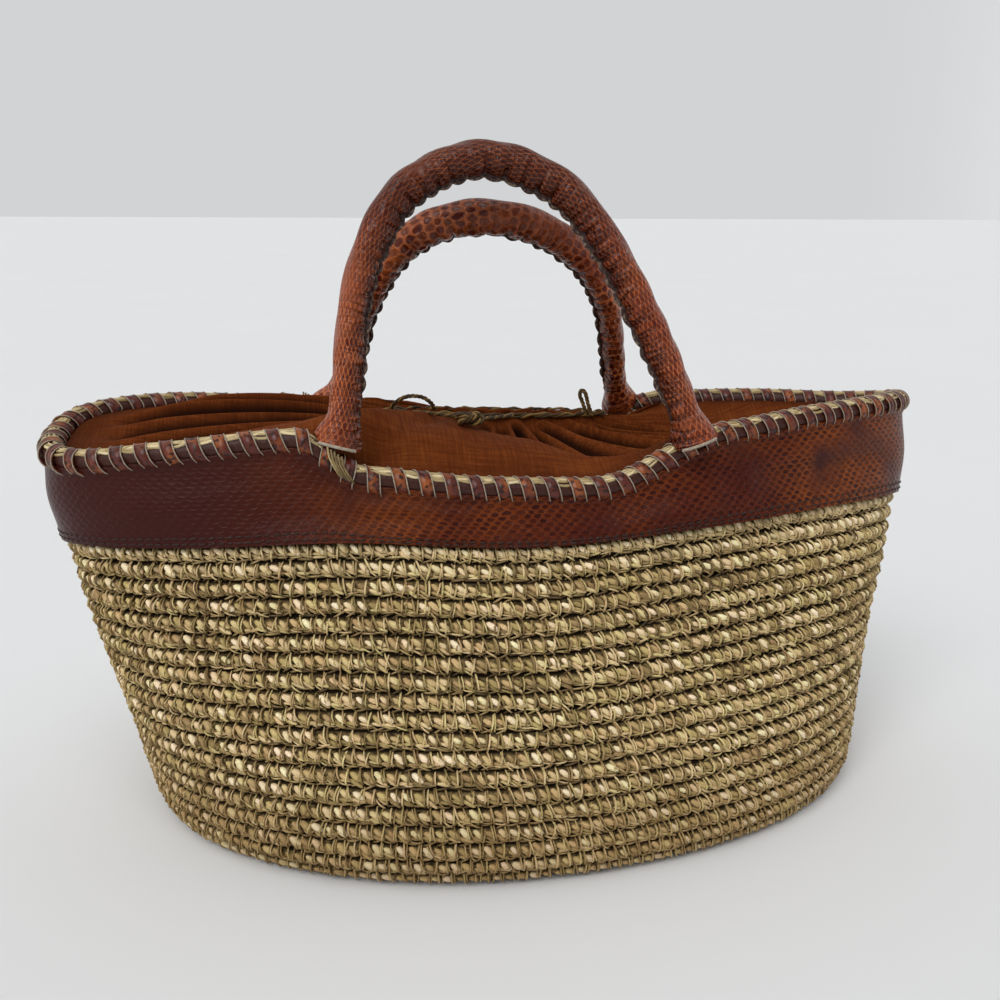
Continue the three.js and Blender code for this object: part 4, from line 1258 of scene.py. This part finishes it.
COVER_SIDES = 640
COVER_ROWS = 44
COVER_REACH = 100.0  # about, from the rim to the hem
RAW_HEM = ((0.8, 0.35), (1.4, 0.7), (1.8, 1.0))  # inset, and share of the rise, past the cord
RAW_HEM_RISE = 2.6
around = turns(COVER_SIDES)
alongs = np.linspace(0, 1, COVER_ROWS + 1)
upper = [cover_point(around, along) for along in alongs]
# Past the cord, the hem's raw edge stands up in the slot.
inwards = -np.stack([0.25 * np.cos(np.radians(around)), np.sin(np.radians(around)), 0 * around], -1)
valley = PLEAT_DEPTH * (1 - np.cos(np.radians(HEM_PLEATS * around)))
for inset, share in RAW_HEM:
    rise = share * (valley + RAW_HEM_RISE + 0.5 * np.sin(np.radians(31 * around)))
    upper.append(upper[COVER_ROWS] + inwards * inset + UP * rise[:, None])
upper = np.array(upper)
normals = unit(np.cross(np.roll(upper, -1, 1) - np.roll(upper, 1, 1), np.gradient(upper, axis=0)))
lower = (upper - normals * np.sign(normals[:1, :, 2:]) * CLOTH_THICKNESS)[::-1]
lower = lower[sorted({*range(0, len(lower), 2), len(lower) - 1})]
row_count = len(upper) + len(lower)
cover_places = (np.linspace(0, 1000.0, COVER_SIDES + 1), np.arange(row_count + 1) * COVER_REACH / COVER_ROWS)
cover = lofted("cover", [*upper, *lower], cotton, surface=cover_places)
# How deep each point of the upper face lies in a gather's valley, for the painted shade.
hollows = np.zeros((row_count, COVER_SIDES))
hollows[:COVER_ROWS + 1] = [gathers(around, along) for along in alongs]
cover.data.attributes.new("hollow", "FLOAT", "POINT").data.foreach_set("value", hollows.ravel())
belongs(cover, "cover_cloth", "cover_cloth")


# Drawstring: a cord of three raffia strands twisted together, run round the hem and tied in front of it.
# A slack loop stands up at its left end and one short end at the right.
CORD_RADIUS = 2.1
KNOT_RADIUS = 4.2
KNOT_FLAT = 0.75  # the knot's height as a share of a round one's
KNOT_STEPS = 240
PLIES = 3
PLY_STAND = {"cord": 0.9, "knot": 0.85, "end": 0.55}  # how far a ply lies off the cord's middle
TWIST_PITCH = {"cord": 16.0, "knot": 8.0, "end": 7.0}
CORD_SLACK = 0.8


def twisted(points, closed, radius, pitch, slack=0.0):
    """The plies of a cord twisted round a line, standing off it more and less where they are slack."""
    if closed:
        along = unit(np.roll(points, -1, 0) - np.roll(points, 1, 0))
    else:
        along = unit(np.gradient(points, axis=0))
    out = unit(np.cross(along, (0.03, 0.02, 1.0)))
    up = np.cross(out, along)
    travelled = lengths_along(points, closed)
    count = round(travelled[-1] / pitch) if closed else travelled[-1] / pitch
    angle = travelled[:len(points)] / travelled[-1] * 2 * np.pi
    plies = []
    for start in np.arange(PLIES) * 2 * np.pi / PLIES:
        swing = angle * count + start + slack * np.sin(11 * angle + 2 * start)
        stand = radius * (1 + 0.5 * slack * np.sin(17 * angle + start))
        plies.append(points + stand[:, None] * (out * np.cos(swing)[:, None] + up * np.sin(swing)[:, None]))
    return plies


CORD_COLOURS = ((0.025, 0.013, 0.004), (0.085, 0.045, 0.012), (0.23, 0.13, 0.035))
cord_raffia = raffia_material("cord_raffia", *CORD_COLOURS, on_basket=False)
CORD_STEPS = 640
around = turns(CORD_STEPS)
hem_line = cover_point(around, 1.0)
pleat = PLEAT_DEPTH * np.cos(np.radians(HEM_PLEATS * around))
hem_line[:, 2] += PLEAT_DEPTH + CORD_RADIUS - pleat
cord_lines = twisted(hem_line, True, PLY_STAND["cord"], TWIST_PITCH["cord"], CORD_SLACK)
cord_sizes = {"Radius": 0.0007, "Sides": 5, "Seed": 8, "Finish": cord_raffia}
belongs(grown("drawstring_cord", strands_tree, cord_sizes, cord_lines), "drawcord", "drawstring")

knot_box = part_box("drawstring_knot")
knot_middle = 1000 * (np.array(knot_box[0]) + np.array(knot_box[1])) / 2 + DRAWN_MIDDLE
# An overhand knot: the cord goes twice round and three times over and under itself.
u = np.linspace(0, 4 * np.pi, KNOT_STEPS, endpoint=False)
swing = np.cos(1.5 * u)
knot_line = knot_middle + np.stack([
    KNOT_RADIUS * (2 + swing) * 0.5 * np.cos(u),
    KNOT_RADIUS * (2 + swing) * 0.5 * np.sin(u),
    KNOT_FLAT * KNOT_RADIUS * np.sin(1.5 * u) * 0.5,
], -1)
knot_lines = twisted(knot_line, True, PLY_STAND["knot"], TWIST_PITCH["knot"])
belongs(grown("drawstring_knot_cord", strands_tree, cord_sizes, knot_lines), "drawcord", "drawstring_knot")

LOOSE_ENDS = (  # points given one by one: the slack loop, the short upright end, and the knot's two tails
    ((-52, 24, 189), (-50, 21, 193), (-44, 19.5, 196.5), (-36, 20, 196), (-31, 21, 192.5), (-29, 24, 189)),
    ((51, 21, 184), (49, 20.5, 190), (47, 20, 195), (47.6, 19.5, 197.5), (49.4, 19.5, 196.5), (51.5, 20, 190),
     (54, 21, 184)),
    ((-19, -11, 190.5), (-25, -6, 190.8), (-31, 2, 190.5), (-38, 10, 190)),
    ((-16, -9, 190), (-8, -5, 188.8), (1, 2, 188), (9, 9, 187.2)),
)
end_lines = [spline_points(np.array(points, float), 14)[0] for points in LOOSE_ENDS]
end_plies = [ply for line in end_lines for ply in twisted(line, False, PLY_STAND["end"], TWIST_PITCH["end"])]
end_sizes = {**cord_sizes, "Radius": 0.0006}
belongs(grown("drawstring_ends", strands_tree, end_sizes, end_plies, closed=False), "drawcord")


# Floor and light: a white floor under soft daylight from above and in front, with a pale room behind.
# The room in front is dimmer, but for one window high at the left, which the leather mirrors in small glints.
FLOOR_REACH = 30.0
floor_mesh = bpy.data.meshes.new("studio_floor")
corners = [(x * FLOOR_REACH, y * FLOOR_REACH, 0) for x, y in ((-1, -1), (1, -1), (1, 1), (-1, 1))]
floor_mesh.from_pydata(corners, [], [(0, 1, 2, 3)])
floor_paint = mottled("floor_paint", 0.7, 3.0, (0.73, 0.73, 0.73), (0.76, 0.76, 0.76), specular_ior_level=0.2)
floor_mesh.materials.append(floor_paint)
studio_floor = bpy.data.objects.new("studio_floor", floor_mesh)
scene.collection.objects.link(studio_floor)
studio_floor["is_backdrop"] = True

daylight = bpy.data.lights.new("daylight", "SUN")
daylight.energy = 0.9
daylight.angle = math.radians(42)
sun = bpy.data.objects.new("daylight", daylight)
sun.rotation_euler = Vector((0.15, 0.5, -1.0)).to_track_quat("-Z", "Y").to_euler()
scene.collection.objects.link(sun)

world = bpy.data.worlds.new("pale_room")
world.use_nodes = True
background = world.node_tree.nodes["Background"]
background.inputs["Color"].default_value = (0.97, 0.985, 1.0, 1.0)
sky = Wire(world.node_tree, world.node_tree.nodes.new("ShaderNodeTexCoord").outputs["Generated"])
behind = sky.part(1).ramp(-0.1, 0.6)
above = sky.part(2).ramp(0.1, 0.9)
beside = sky.part(0).maths("ABSOLUTE").ramp(0.45, 0.95)
WINDOW_WAY = (-0.45, -0.6, 0.66)
window = sky.node("ShaderNodeVectorMath", {"operation": "DOT_PRODUCT"}, {0: sky, 1: WINDOW_WAY}, output=1)
brightness = behind * 0.42 + above * 0.1 + beside * 0.6 + window.ramp(0.93, 0.98) * 3.8 + 0.24
world.node_tree.links.new(brightness.socket, background.inputs["Strength"])
scene.world = world
scene.view_settings.view_transform = "Standard"


# Sizes: the solids' box and the dressed bag's box, for comparison.
sizes = {
    "cad": [list(corner) for corner in cad_box],
    "visual": [list(corner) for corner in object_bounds()],
}
